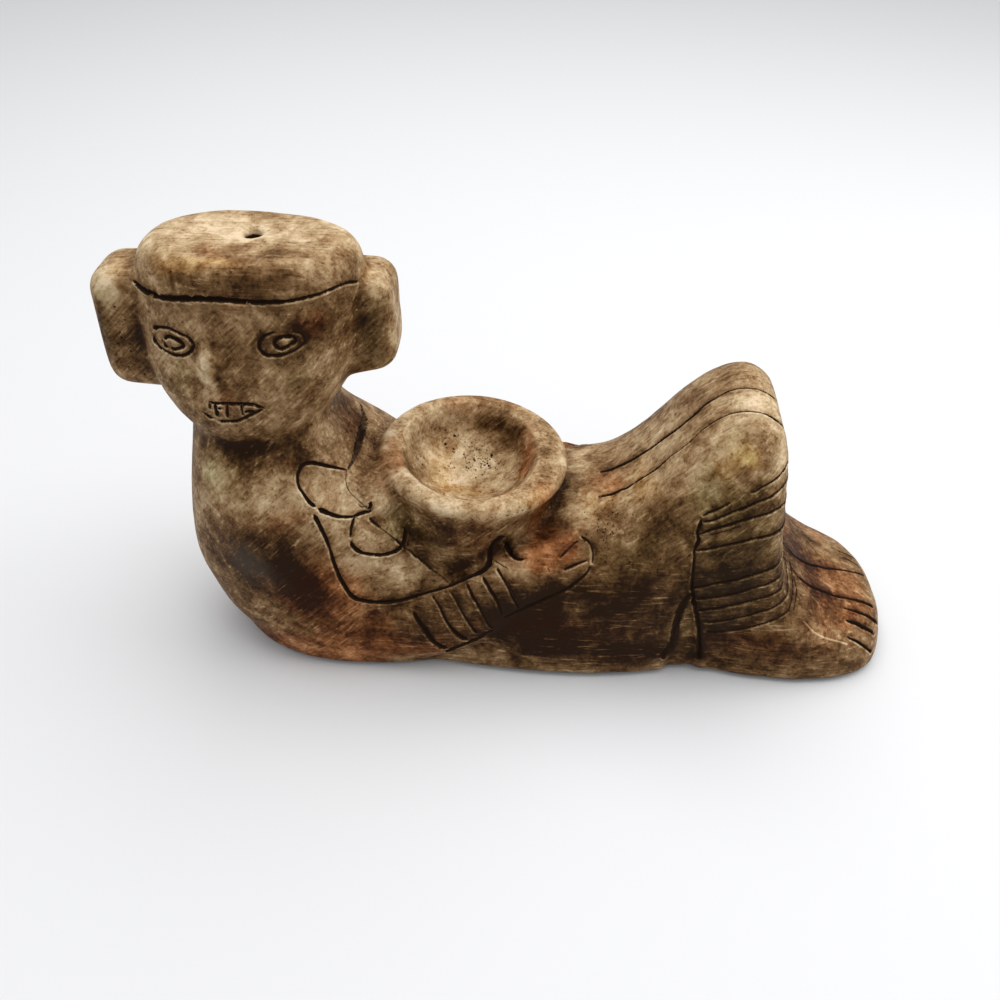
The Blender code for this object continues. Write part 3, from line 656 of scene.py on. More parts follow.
def bowl_placing():
    lean = Matrix.Rotation(math.radians(BOWL_LEAN), 4, "Y")
    squeeze = Matrix.Diagonal((BOWL_SQUEEZE, 1, 1, 1))
    return Matrix.Translation(Vector((*BOWL_AT, RIM_HEIGHT)) * MM) @ lean @ squeeze


def bowl():
    """The bowl's outside: a drum that widens softly into a rounded lip."""
    width, height = LIP
    lip = [
        (RIM_RADIUS - width + width * math.cos(angle), -height + height * math.sin(angle))
        for angle in np.linspace(math.pi / 2, -math.pi / 4, 9)
    ]
    wall = [(WALL_RADIUS + wider, height) for wider, height in BOWL_WALL]
    return thrown([(0, 0), *lip, *wall, (0, -50)], bowl_placing())


def bowl_inside():
    """The bowl's inside, up past the rim."""
    wall = [
        (MOUTH_RADIUS * math.sin(angle), -HOLLOW_DEPTH * math.cos(angle))
        for angle in np.linspace(math.radians(80), 0, 12)
    ]
    placing = Matrix.Translation((MOUTH_OFFSET * MM, 0, 0)) @ Matrix.Diagonal((MOUTH_SQUEEZE, 1, 1, 1))
    return thrown([(0, 3), (MOUTH_RADIUS + 5, 3), *wall], bowl_placing() @ placing)


def vent():
    profile = [
        (0, CROWN_HEIGHT + 3),
        (VENT_RADIUS + 2.5, CROWN_HEIGHT + 1),
        (VENT_RADIUS, CROWN_HEIGHT - 1.5),
        (VENT_RADIUS, CROWN_HEIGHT - VENT_DEPTH),
        (0, CROWN_HEIGHT - VENT_DEPTH),
    ]
    return thrown(profile, Matrix.Translation(Vector((*VENT_AT, 0)) * MM), segments=24)


def as_object(name, bm):
    mesh = bpy.data.meshes.new(name)
    bm.to_mesh(mesh)
    bm.free()
    obj = bpy.data.objects.new(name, mesh)
    bpy.context.scene.collection.objects.link(obj)
    return obj


def opened(mesh):
    bm = bmesh.new()
    bm.from_mesh(mesh)
    return bm


def settle(obj):
    """Bakes the object's modifiers into its mesh."""
    graph = bpy.context.evaluated_depsgraph_get()
    mesh = bpy.data.meshes.new_from_object(obj.evaluated_get(graph))
    obj.modifiers.clear()
    old = obj.data
    obj.data = mesh
    bpy.data.meshes.remove(old)


def lute(name, lumps):
    """Presses the lumps together into one mesh that still overlaps itself."""
    whole = bmesh.new()
    for piece in lumps:
        mesh = bpy.data.meshes.new("lump")
        piece.to_mesh(mesh)
        piece.free()
        whole.from_mesh(mesh)
        bpy.data.meshes.remove(mesh)
    return as_object(name, whole)


def wipe(obj, voxel, strokes):
    """Gives the overlapping clay one skin and wipes the joints soft."""
    skin = obj.modifiers.new("skin", "REMESH")
    skin.mode = "VOXEL"
    skin.voxel_size = voxel * MM
    if strokes:
        sponge = obj.modifiers.new("sponge", "SMOOTH")
        sponge.factor = 0.5
        sponge.iterations = strokes
    settle(obj)


def scoop(obj, form):
    """Takes the form out of the clay."""
    cutter = as_object("cutter", form)
    boolean = obj.modifiers.new("scoop", "BOOLEAN")
    boolean.operation = "DIFFERENCE"
    boolean.object = cutter
    settle(obj)
    bpy.data.objects.remove(cutter)


def slice_level(obj, height):
    """Cuts the clay off level at this height and closes the cut."""
    bm = opened(obj.data)
    everything = bm.verts[:] + bm.edges[:] + bm.faces[:]
    bmesh.ops.bisect_plane(
        bm,
        geom=everything,
        dist=1e-7,
        plane_co=(0, 0, height * MM),
        plane_no=(0, 0, 1),
        clear_inner=True,
    )
    rim = [edge for edge in bm.edges if edge.is_boundary]
    bmesh.ops.holes_fill(bm, edges=rim, sides=0)
    bmesh.ops.recalc_face_normals(bm, faces=bm.faces)
    bm.to_mesh(obj.data)
    bm.free()


def model_clay():
    """The whole figure before any line is cut in it."""
    forms = [
        lump(TORSO, level_section, (3, 2.1)),
        lump(LAP, upright_section, (3.2, 3.2)),
        lump(SHINS, level_section, (5, 5)),
        lump(FEET, upright_section, (3.4, 3.4)),
        head(),
    ]
    core = lute("core", forms)
    wipe(core, ROUGH_VOXEL, 6)
    slice_level(core, -CUT_BELOW)
    details = [opened(core.data), bowl(), ball(*BOWL_JOINT), nose(), forearm(-1), forearm(1)]
    details += [ear(*values) for values in EARS]
    bpy.data.objects.remove(core)
    figure = lute(FIGURE + "_clay", details)
    wipe(figure, SOFT_VOXEL, 5)
    scoop(figure, bowl_inside())
    scoop(figure, vent())
    wipe(figure, SKIN_VOXEL, 2)
    return figure


def points_of(mesh):
    flat = np.empty(len(mesh.vertices) * 3, np.float32)
    mesh.vertices.foreach_get("co", flat)
    return flat.reshape(-1, 3).astype(float)


def normals_of(mesh):
    flat = np.empty(len(mesh.vertices) * 3, np.float32)
    mesh.vertices.foreach_get("normal", flat)
    return flat.reshape(-1, 3).astype(float)


def move_points(mesh, points):
    mesh.vertices.foreach_set("co", points.astype(np.float32).ravel())
    mesh.update()


def give_field(mesh, name, values):
    """Stores one number for each point of the skin, for the glaze to read."""
    field = mesh.attributes.new(name, "FLOAT", "POINT")
    field.data.foreach_set("value", np.asarray(values, np.float32))


def smooth_step(values, low, high):
    t = np.clip((values - low) / (high - low), 0, 1)
    return t * t * (3 - 2 * t)


def grain_at(points, scale, place=0.0):
    """Smooth noise at each point, from -1 to 1."""
    away = Vector((place, place * 0.7, place * 1.3))
    return np.array([noise.noise(Vector(point) * scale + away) for point in points])


def shin_front(height):
    return float(np.interp(height, [row[0] for row in SHINS], [row[2] for row in SHINS]))


def round_the_front(points, middle_y):
    """Carries a shin line from where it leaves the side, round the front to the middle band."""
    x, y, z, width = points[-1]
    front = shin_front(z)
    around = [(front - 0.3, (y * 2 + middle_y) / 3, z + 0.7, width), (front, middle_y, z + 1.3, width * 0.8)]
    return [*points, *around]


def head_marks():
    back_of_band = [(x, -y * 0.9, z, width) for x, y, z, width in HEADBAND[2:-1]]
    found = [(HEADBAND, GOUGE), (back_of_band, CUT)]
    scored = (LEFT_EYE, LEFT_IRIS, LEFT_IRIS_SIDE, RIGHT_EYE, RIGHT_IRIS, MOUTH_TOP, MOUTH_LEFT, MOUTH_FOOT)
    scored += (MOUTH_WEDGE, MOUTH_CORNER, TOOTH_1, TOOTH_LINK, TOOTH_2, TOOTH_3)
    return found + [(points, SCORE) for points in scored]


def loop_marks():
    loops = (UPPER_LOOP, UPPER_LOOP_FOOT, LOOP_HOOK, LOWER_LOOP, LOWER_LOOP_FOOT)
    found = [(SEAM, CHANNEL), (SEAM_CORE, CUT)] + [(points, CUT) for points in loops]
    return found + [(points, HAIRLINE) for points in (CRACK, CRACK_FOOT, LOOP_FOLD)]


def arm_marks():
    found = [(ARM, CUT), (THUMB, CUT), (ELBOW_LINE, FOLD), (FOREARM_UNDERSIDE, SCORE)]
    bracelets = (BRACELET_1, BRACELET_2, BRACELET_3, BRACELET_4, BRACELET_5, BRACELET_6, BRACELET_7)
    found += [(points, SCORE) for points in (*bracelets, FINGERTIPS, FINGER_GAP_1, FINGER_GAP_2)]
    return found + [(points, HAIRLINE) for points in (THUMB_LINE, HAND_FOLD)]


def leg_marks(middle_y):
    """Lines of the near leg, which run round the front to the middle band."""
    found = [(CALF, CUT), (THIGH_EDGE, FOLD), (HEEL_EDGE, CUT), (SHIN_B, SCORE), (SHIN_C2, HAIRLINE)]
    for points in (SHIN_A, SHIN_B2, SHIN_C, SHIN_D, SHIN_E, SHIN_F, SHIN_G, SHIN_H, SHIN_I):
        found.append((round_the_front(points, middle_y), SCORE))
    return found


def foot_marks():
    lines = (FOOT_FAR, FOOT_NEAR, FAR_TOE_1, FAR_TOE_2, TOE_1, TOE_2, TOE_3, FAR_MIDDLE, NEAR_MIDDLE)
    front = [
        [(95.5, 1, 80, 0.7), (98, 0, 46, 0.7), (103.5, -1.5, 35.5, 0.7)],
        [(95.5, -10.5, 80, 0.7), (97.5, -10, 46, 0.7), (102.5, -11.5, 35.5, 0.7)],
    ]
    found = [(points, SCORE) for points in (*lines, *front)]
    return found + [(SCUFF_RIDGE, SCUFF), (ANKLE_CREASE, HAIRLINE)]


def far_side(marks):
    return [([(x, -y, z, width) for x, y, z, width in points], tool) for points, tool in marks]


def all_marks():
    near = head_marks() + loop_marks() + arm_marks() + leg_marks(-10) + foot_marks()
    return near + far_side(arm_marks() + leg_marks(-1))


def along_stroke(points):
    """Evenly spaced rows along the stroke, with its corners softened."""
    rows = np.array(points, float)
    run = np.concatenate([[0], np.cumsum(np.linalg.norm(np.diff(rows[:, :3], axis=0), axis=1))])
    steps = np.linspace(0, run[-1], max(3, round(run[-1] / STROKE_STEP)))
    even = np.stack([np.interp(steps, run, column) for column in rows.T], axis=1)
    held = np.pad(even, ((STROKE_EVEN, STROKE_EVEN), (0, 0)), "edge")
    share = np.ones(2 * STROKE_EVEN + 1) / (2 * STROKE_EVEN + 1)
    return np.stack([np.convolve(column, share, "valid") for column in held.T], axis=1)


def lay_strokes(mesh, marks):
    """Places along every stroke on the skin, each with its half width, depth, burr and wash."""
    tree = BVHTree.FromPolygons(
        [vertex.co for vertex in mesh.vertices], [tuple(face.vertices) for face in mesh.polygons]
    )
    places, cuts = [], []
    for order, (points, (share, burr, wash)) in enumerate(marks):
        rows = along_stroke(points)
        for at, row in enumerate(rows):
            run = at * STROKE_STEP
            from_end = min(run, (len(rows) - 1 - at) * STROKE_STEP)
            wear = 1 + 0.24 * noise.noise(Vector((run * 0.7, order * 5.1, 3.7)))
            taper = min(1.0, 0.5 + from_end / 1.6)
            width = min(WIDEST, max(0.45, row[3])) * wear * taper
            places.append(tree.find_nearest(Vector(row[:3]) * MM)[0])
            cuts.append((width / 2, width * share, burr * min(1.0, width), wash))
    shaker = np.random.default_rng(5)
    for middle, reach, count, width in PITTED:
        for _ in range(count):
            spot = Vector(middle) + Vector(shaker.normal(0, 0.6, 3) * reach)
            size = width * (0.5 + shaker.random())
            places.append(tree.find_nearest(spot * MM)[0])
            cuts.append((size / 2, size * 0.6, 0.0, 0.8))
    return places, np.array(cuts)


def nearest_of(places, points):
    near = KDTree(len(places))
    for at, place in enumerate(places):
        near.insert(place, at)
    near.balance()
    found = [near.find(point) for point in points]
    return np.array([entry[1] for entry in found]), np.array([entry[2] for entry in found]) / MM


def halve_near(mesh, places):
    """Splits the skin's faces near the strokes, so that these can be cut finely."""
    for reach in HALVED_WITHIN:
        close = nearest_of(places, points_of(mesh))[1] < reach
        bm = opened(mesh)
        edges = [edge for edge in bm.edges if all(close[vertex.index] for vertex in edge.verts)]
        bmesh.ops.subdivide_edges(bm, edges=edges, cuts=1, use_grid_fill=True)
        bmesh.ops.triangulate(bm, faces=[face for face in bm.faces if len(face.verts) > 4])
        bm.to_mesh(mesh)
        bm.free()


def incise(mesh, places, cuts):
    """Cuts the strokes into the skin and raises a burr beside them."""
    points = points_of(mesh)
    nearest, distance = nearest_of(places, points)
    half_width, depth, burr, wash = cuts[nearest].T
    share = distance / half_width
    trough = np.clip(1 - share**2, 0, 1) ** 0.8
    away = points - np.array([tuple(place) for place in places])[nearest]
    away /= np.linalg.norm(away, axis=1)[:, None] + 1e-9
    side = smooth_step(away @ np.array(BURR_SIDE), -0.3, 0.8)
    beyond = distance - half_width
    ridge = np.exp(-(((beyond - 0.4) / 0.36) ** 2)) * (beyond > 0) * (0.3 + 0.7 * side)
    smudge = np.exp(-((beyond / 1.1) ** 2)) * (burr > 0.1) * (1 - side * 0.6)
    ragged = grain_at(points, 700) * 0.5 + 0.8
    rise = -depth * trough + burr * ridge * ragged
    points += normals_of(mesh) * rise[:, None] * MM
    move_points(mesh, points)
    in_vent = np.hypot(*(points.T[:2] / MM - np.array(VENT_AT)[:, None])) < VENT_RADIUS + 0.5
    # Painted shade: the inside of the vent hole is darkened, and goes into the line field with the wash of
    # the strokes.
    vent_painted_shade = in_vent * smooth_step(CROWN_HEIGHT - points[:, 2] / MM, 1.2, 2.6)
    line = np.clip((1.45 - share) / 0.45, 0, 1) * wash * (depth > 0)
    give_field(mesh, "line", np.maximum(line, vent_painted_shade))
    give_field(mesh, "burr", np.maximum(ridge * (burr > 0.1) * ragged, trough * (depth < 0)))
    give_field(mesh, "smudge", smudge)


def press_heel_gaps(mesh):
    """The web between thigh and heel lies deeper than both, on either side."""
    points = points_of(mesh)
    x, y, z = points.T / MM
    rows = np.array(HEEL_GAP[::-1], float)
    half_width = np.interp(z, rows[:, 0], rows[:, 1])
    depth = np.interp(z, rows[:, 0], rows[:, 2])
    share = smooth_step(1.5 - np.abs(x - HEEL_GAP_X) / half_width, 0, 0.8)
    reach = (np.abs(y) > 20) & (z < HEEL_GAP[0][0])
    points[:, 1] -= np.sign(y) * depth * share * reach * MM
    move_points(mesh, points)


def round_foot(mesh):
    """Draws the outline in near the table, which leaves a rounded bottom edge."""
    points = points_of(mesh)
    width, height = BOTTOM_EDGE
    share = np.clip(1 - points[:, 2] / MM / height, 0, 1)
    points[:, :2] -= normals_of(mesh)[:, :2] * (width * share**3)[:, None] * MM
    move_points(mesh, points)


def thumb_over(mesh):
    """Unevenness that hands leave in clay: broad dents, and a finer waviness."""
    points = points_of(mesh)
    rise = grain_at(points, 65) * 0.3 + grain_at(points, 210, 9) * 0.1 - 0.06
    for middle, radius, height in EYEBALLS:
        away = np.linalg.norm(points / MM - middle, axis=1) / radius
        rise += height * np.exp(-(away**2) * 2)
    points += normals_of(mesh) * rise[:, None] * MM
    move_points(mesh, points)


def hollowness(mesh):
    """How shut in each point of the skin is, from rays off a coarse copy: 0 open, 1 shut in."""
    probe = bpy.data.objects.new("probe", mesh.copy())
    bpy.context.scene.collection.objects.link(probe)
    wipe(probe, SHADE_VOXEL, 0)
    tree = BVHTree.FromObject(probe, bpy.context.evaluated_depsgraph_get())
    count = 40
    turns = np.arange(count) * math.pi * (3 - math.sqrt(5))
    lift = np.sqrt((np.arange(count) + 0.5) / count)
    flat = np.sqrt(1 - lift**2)
    fan = np.stack([flat * np.cos(turns), flat * np.sin(turns), lift], axis=1)
    near = KDTree(len(probe.data.vertices))
    shut = []
    for at, vertex in enumerate(probe.data.vertices):
        frame_of = vertex.normal.to_track_quat("Z", "Y").to_matrix()
        start = vertex.co + vertex.normal * 1.2 * MM
        hits = 0.0
        for ray in fan:
            hit = tree.ray_cast(start, frame_of @ Vector(ray), 40 * MM)
            if hit[0] is not None:
                hits += 1 - hit[3] / (40 * MM)
        shut.append(hits / count)
        near.insert(vertex.co, at)
    near.balance()
    shut = np.array(shut)
    values = []
    for point in points_of(mesh):
        close = near.find_n(point, 3)
        weights = np.array([1 / (entry[2] + 1e-5) for entry in close])
        values.append(float(weights @ shut[[entry[1] for entry in close]] / weights.sum()))
    bpy.data.objects.remove(probe)
    return np.array(values)


def proudness(mesh):
    """How far each point stands out from a well-smoothed copy, in millimetres: edges are worn."""
    copy = bpy.data.objects.new("copy", mesh.copy())
    bpy.context.scene.collection.objects.link(copy)
    sponge = copy.modifiers.new("sponge", "SMOOTH")
    sponge.factor = 1.0
    sponge.iterations = 60
    settle(copy)
    gap = points_of(mesh) - points_of(copy.data)
    bpy.data.objects.remove(copy)
    return np.einsum("ij,ij->i", gap, normals_of(mesh)) / MM


def thin_skin(obj):
    """Brings the skin down to its number of triangles, mostly where it is flat."""
    obj.data.update()
    faces = sum(len(face.vertices) - 2 for face in obj.data.polygons)
    thin = obj.modifiers.new("thin", "DECIMATE")
    thin.ratio = min(1.0, SKIN_TRIANGLES / faces)
    settle(obj)


def set_over_solid(obj):
    """Moves the skin from the drawing to the frame's place and returns the move."""
    low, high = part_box(FIGURE)
    points = points_of(obj.data)
    own_low, own_high = points.min(0), points.max(0)
    move = Vector(((low.x + high.x - own_low[0] - own_high[0]) / 2, 0, 0))
    move.y = (low.y + high.y - own_low[1] - own_high[1]) / 2
    obj.data.transform(Matrix.Translation(move))
    return move


class Value:
    """A socket of the glaze's node tree. Sums and products of it add Math or Vector Math nodes."""

    def __init__(self, glaze, socket):
        self.glaze = glaze
        self.socket = socket

    def sum_with(self, operation, first, second):
        wide = any(isinstance(item, tuple) or is_wide(item) for item in (first, second))
        kind = "ShaderNodeVectorMath" if wide else "ShaderNodeMath"
        return self.glaze.add(kind, {"operation": operation}, {0: first, 1: second})

    def __add__(self, other):
        return self.sum_with("ADD", self, other)

    def __radd__(self, other):
        return self.sum_with("ADD", other, self)

    def __sub__(self, other):
        return self.sum_with("SUBTRACT", self, other)

    def __rsub__(self, other):
        return self.sum_with("SUBTRACT", other, self)

    def __mul__(self, other):
        return self.sum_with("MULTIPLY", self, other)

    def __rmul__(self, other):
        return self.sum_with("MULTIPLY", other, self)

    def between(self, low, high):
        """0 at low, 1 at high and smooth in between."""
        return self.glaze.add(
            "ShaderNodeMapRange",
            {"interpolation_type": "SMOOTHSTEP"},
            {"Value": self, "From Min": low, "From Max": high},
        )


def is_wide(item):
    return isinstance(item, Value) and item.socket.type in ("VECTOR", "RGBA")


class Glaze:
    """One material's node tree."""

    def __init__(self, name):
        self.material = bpy.data.materials.new(name)
        self.material.use_nodes = True
        self.tree = self.material.node_tree
        self.shader = self.tree.nodes["Principled BSDF"]

    def add(self, kind, settings, values, output=0):
        """Adds a node: its settings first, then a number or a link for each socket."""
        node = self.tree.nodes.new(kind)
        for name, setting in settings.items():
            if name == "stops":
                lay_ramp(node.color_ramp, setting)
            else:
                setattr(node, name, setting)
        for name, value in values.items():
            self.feed(node.inputs[name], value)
        return Value(self, node.outputs[output])

    def feed(self, socket, value):
        if isinstance(value, Value):
            self.tree.links.new(value.socket, socket)
        elif isinstance(value, tuple) and socket.type == "RGBA":
            socket.default_value = (*value, 1)
        elif not isinstance(value, tuple) and socket.type in ("VECTOR", "RGBA"):
            socket.default_value = (value,) * len(socket.default_value)
        else:
            socket.default_value = value

    def field(self, name):
        return self.add("ShaderNodeAttribute", {"attribute_name": name}, {}, "Fac")

    def mix(self, factor, first, second, blend="MIX"):
        """Mixes two colours."""
        node = self.tree.nodes.new("ShaderNodeMix")
        node.data_type = "RGBA"
        node.blend_type = blend
        self.feed(node.inputs[0], factor)
        self.feed(node.inputs[6], first)
        self.feed(node.inputs[7], second)
        return Value(self, node.outputs[2])

    def grain(self, place, scale, detail=3.0, roughness=0.55, distortion=0.0):
        return self.add(
            "ShaderNodeTexNoise",
            {},
            {
                "Vector": place,
                "Scale": scale,
                "Detail": detail,
                "Roughness": roughness,
                "Distortion": distortion,
            },
            "Fac",
        )

    def stroked(self, place, turn, stretch, scale, detail=3.0):
        """Noise drawn out along one direction, as a brush or a burnishing stone leaves it."""
        laid = self.add(
            "ShaderNodeMapping",
            {"vector_type": "TEXTURE"},
            {"Vector": place, "Rotation": turn, "Scale": stretch},
        )
        return self.grain(laid, scale, detail, 0.6)


def lay_ramp(ramp, stops):
    while len(ramp.elements) < len(stops):
        ramp.elements.new(1.0)
    for element, (at, colour) in zip(ramp.elements, stops):
        element.position = at
        element.color = (*colour, 1)


# Where the wash was left, rubbed off or tinted, and where shade and highlights are painted: middle, half
# sizes and strength
# Painted shade among these: under the chin, on and under the nose, and on the left ear's front beside the
# face.
DARK_PATCHES = (
    ((-88, -36, 48), (12, 8, 11), 0.34), ((-72, -39, 48), (8, 8, 11), 0.34),
    ((-64, -40, 38), (8, 8, 8), 0.22), ((-81, -36, 63), (14, 8, 6), 0.16),
    ((-84, -26, 84), (7, 8, 4), 0.28), ((-77, -24, 88), (10, 8, 3), 0.24), ((-95, -21, 87), (8, 8, 3), 0.2),
    ((-126, -10, 114), (6, 10, 13), 0.22), ((-116, -11, 113), (3, 9, 12), 0.3),
    ((-117, -10, 134), (2, 10, 13), 0.1), ((-10, -33, 64), (20, 8, 3), 0.22),
    ((-15, -32, 46), (8, 8, 4), 0.3), ((39, -39, 37), (32, 8, 11), 0.32), ((21, -39, 19), (36, 8, 7), 0.4),
    ((14, -38, 40), (17, 8, 6), 0.08), ((48, -38, 40), (17, 8, 9), 0.12),
    ((-46, -13, 137), (4, 9, 12), 0.1), ((100, -36, 21), (22, 8, 8), 0.1), ((69, -27, 88), (13, 8, 6), 0.1),
    ((87, -31, 80), (4, 10, 13), 0.08), ((54, -38, 12), (15, 8, 5), 0.2), ((10, -39, 29), (11, 8, 6), 0.2),
    ((36, -39, 13), (25, 8, 4), 0.2), ((7, -39, 25), (10, 8, 6), 0.34), ((78, -36, 51), (15, 21, 27), 0.32),
    ((74, -36, 53), (9, 8, 7), 0.1), ((86, -36, 12), (19, 8, 6), 0.14),
    ((113, -16, 27), (13, 15, 13), 0.12), ((127, -18, 19), (10, 16, 8), 0.08),
    ((111, -37, 14), (15, 8, 5), 0.08), ((-41, -9, 124), (4, 8, 9), 0.2),
    ((-74, -24, 149), (19, 8, 4), 0.36), ((-91, -23, 147), (5, 8, 3), 0.14),
    ((-57, -22, 134), (5, 8, 4), 0.26), ((-85, -28, 113), (2, 8, 1), 0.4),
    ((-86, -28, 123), (1, 8, 7), 0.34), ((-86, -28, 116), (1, 8, 2), 0.3),
    ((-82, -28, 113), (1, 8, 2), 0.2), ((34, -21, 61), (5, 6, 5), 0.14), ((83, -24, 96), (3, 8, 4), 0.16),
    ((-82, -26, 126), (4, 8, 10), 0.14), ((-60, -24, 129), (10, 8, 6), 0.12),
    ((-98, -23, 96), (9, 8, 4), 0.14), ((-55, 0, 84), (5, 8, 6), 0.2), ((-49, 0, 77), (4, 11, 9), 0.2),
    ((-1, 21, 71), (8, 8, 4), 0.16), ((69, 8, 97), (10, 5, 5), 0.12), ((46, -33, 58), (15, 9, 12), 0.2),
    ((18, -19, 58), (3, 13, 7), 0.16), ((15, -37, 42), (10, 8, 4), 0.2), ((52, -30, 69), (7, 8, 4), 0.1),
    ((-79, -27, 102), (10, 8, 5), 0.1), ((-65, -39, 15), (22, 8, 5), 0.14),
    ((-33, -38, 30), (25, 8, 8), 0.06), ((-68, -39, 46), (8, 10, 14), 0.34),
    ((-101, -23, 115), (5, 9, 11), 0.1), ((-69, -26, 120), (13, 9, 12), 0.16),
    ((-47, -13, 134), (3, 9, 12), 0.1), ((-39, -9, 119), (5, 12, 15), 0.12),
    ((-15, -35, 73), (26, 8, 5), 0.2), ((-3, 21, 69), (6, 8, 5), 0.16), ((-10, -32, 57), (20, 8, 7), 0.1),
    ((19, -13, 71), (4, 18, 15), 0.1), ((-15, 27, 75), (19, 8, 3), 0.1), ((-55, -40, 23), (18, 8, 9), 0.16),
    ((-78, -24, 87), (17, 8, 6), 0.24), ((115, -3, 26), (12, 16, 8), 0.12),
    ((-14, -32, 57), (20, 8, 6), 0.14), ((25, -32, 54), (7, 8, 5), 0.06),
    ((-10, -40, 38), (14, 8, 6), 0.14), ((-101, -18, 149), (9, 8, 3), 0.1),
)
# Painted highlights among these: the lit spots on the nose and on the eyeballs.
PALE_PATCHES = (
    ((-80, 2, 152), (31, 10, 8), 0.34), ((-88, -19, 152), (17, 3, 5), 0.18),
    ((-59, -20, 151), (9, 4, 5), 0.14), ((-51, -18, 148), (1, 8, 5), 0.34),
    ((-41, -1, 141), (4, 5, 5), 0.26), ((-35, 0, 125), (1, 13, 17), 0.24),
    ((-123, -9, 139), (3, 8, 7), 0.2), ((-99, -23, 115), (4, 8, 9), 0.1),
    ((-90, -28, 121), (2, 8, 11), 0.26), ((-57, -27, 76), (7, 8, 6), 0.14),
    ((-25, 1, 61), (9, 15, 7), 0.26), ((-10, 7, 58), (10, 15, 8), 0.18), ((-13, -35, 74), (23, 8, 3), 0.24),
    ((19, -9, 72), (3, 16, 8), 0.18), ((-37, -27, 62), (3, 7, 5), 0.16), ((82, -8, 103), (7, 6, 5), 0.22),
    ((68, -27, 88), (10, 8, 6), 0.22), ((-31, -33, 44), (12, 8, 5), 0.2), ((-39, -35, 52), (5, 8, 6), 0.1),
    ((-96, -25, 78), (5, 8, 9), 0.18), ((112, -32, 22), (11, 7, 4), 0.2), ((53, -3, 79), (14, 7, 5), 0.14),
    ((27, 3, 61), (4, 11, 6), 0.1), ((-41, 5, 77), (6, 9, 5), 0.12), ((-15, 27, 74), (15, 8, 3), 0.16),
    ((-100, -22, 126), (1, 8, 1), 0.4), ((-57, -38, 7), (4, 8, 2), 0.3), ((-69, -39, 14), (3, 8, 5), 0.2),
    ((-28, -32, 42), (10, 8, 5), 0.14), ((-64, -25, 129), (2, 8, 2), 0.34),
    ((-81, -27, 119), (1, 8, 2), 0.34), ((-83, -27, 117), (1, 8, 1), 0.2),
    ((-71, -27, 120), (6, 8, 5), 0.12), ((-37, -39, 27), (14, 8, 6), 0.12),
    ((76, -36, 35), (9, 8, 4), 0.08), ((88, -29, 86), (3, 20, 26), 0.16), ((-53, -33, 67), (7, 8, 3), 0.1),
    ((64, -37, 22), (4, 11, 14), 0.4), ((48, -16, 72), (8, 7, 4), 0.12), ((-69, -40, 35), (5, 8, 4), 0.06),
    ((-90, -32, 71), (8, 8, 5), 0.16), ((-69, -32, 74), (10, 8, 7), 0.14),
    ((-84, -28, 81), (10, 8, 4), 0.16), ((64, -19, 90), (20, 10, 9), 0.14),
    ((33, -12, 62), (10, 8, 5), 0.14), ((-14, 12, 60), (15, 14, 7), 0.12), ((-61, -40, 16), (6, 8, 2), 0.2),
    ((-54, -39, 10), (4, 8, 2), 0.2), ((126, -14, 20), (9, 18, 9), 0.1),
)
RUST_PATCHES = (
    ((8, 3, 68), (3, 13, 11), 0.9), ((13, -20, 64), (4, 7, 7), 0.9), ((16, -30, 55), (8, 7, 5), 1),
    ((-57, -23, 134), (4, 8, 3), 0.9), ((-86, -25, 129), (3, 8, 6), 0.35), ((-74, -36, 6), (17, 8, 8), 1),
    ((-55, -39, 9), (16, 8, 7), 1), ((-89, -13, 152), (19, 5, 5), 0.4), ((11, -39, 27), (21, 8, 5), 0.5),
    ((-35, -40, 18), (22, 8, 7), 0.5), ((-90, -28, 6), (9, 8, 9), 0.5), ((34, -2, 62), (5, 8, 5), 0.6),
    ((117, -9, 25), (16, 21, 11), 0.7), ((127, -18, 19), (8, 12, 6), 0.35),
    ((95, -37, 19), (18, 8, 7), 0.4), ((-19, 26, 75), (15, 8, 3), 0.4), ((-55, 2, 84), (5, 10, 8), 0.5),
    ((-71, -25, 143), (15, 8, 4), 0.3), ((-38, -8, 77), (6, 9, 5), 0.4), ((-53, -40, 40), (8, 8, 8), 0.5),
    ((-67, -40, 40), (11, 8, 11), 0.9), ((-60, -40, 26), (14, 8, 9), 0.5),
    ((-28, -39, 30), (21, 8, 6), 0.15), ((-83, -35, 67), (14, 8, 7), 0.4),
    ((-10, -32, 59), (13, 8, 6), 0.3), ((49, -38, 20), (22, 8, 6), 0.3), ((-86, -27, 108), (5, 8, 4), 0.35),
    ((20, -34, 53), (8, 8, 4), 0.6), ((-1, -28, 74), (8, 5, 5), 0.4), ((134, -6, 17), (6, 12, 6), 0.3),
    ((-84, -28, 112), (4, 8, 5), 0.3), ((40, -4, 66), (4, 5, 5), 0.4), ((-29, -40, 13), (15, 8, 4), 0.3),
)
OLIVE_PATCHES = (
    ((-41, -9, 124), (6, 10, 12), 0.8), ((-99, -24, 115), (4, 8, 8), 0.6),
    ((78, -36, 51), (15, 23, 29), 0.7), ((-35, -25, 61), (5, 8, 7), 0.8), ((-17, -32, 56), (14, 8, 5), 0.6),
    ((-96, -25, 79), (6, 8, 9), 0.7), ((-126, -10, 123), (4, 15, 20), 0.6),
    ((47, -35, 55), (15, 10, 13), 0.5), ((64, -37, 20), (4, 8, 9), 0.7), ((77, -27, 93), (4, 8, 3), 0.7),
    ((-65, -26, 116), (9, 8, 8), 0.4), ((-13, 2, 57), (7, 9, 5), 0.3), ((-38, -38, 35), (14, 8, 9), 0.3),
    ((70, -32, 80), (10, 8, 7), 0.6),
)
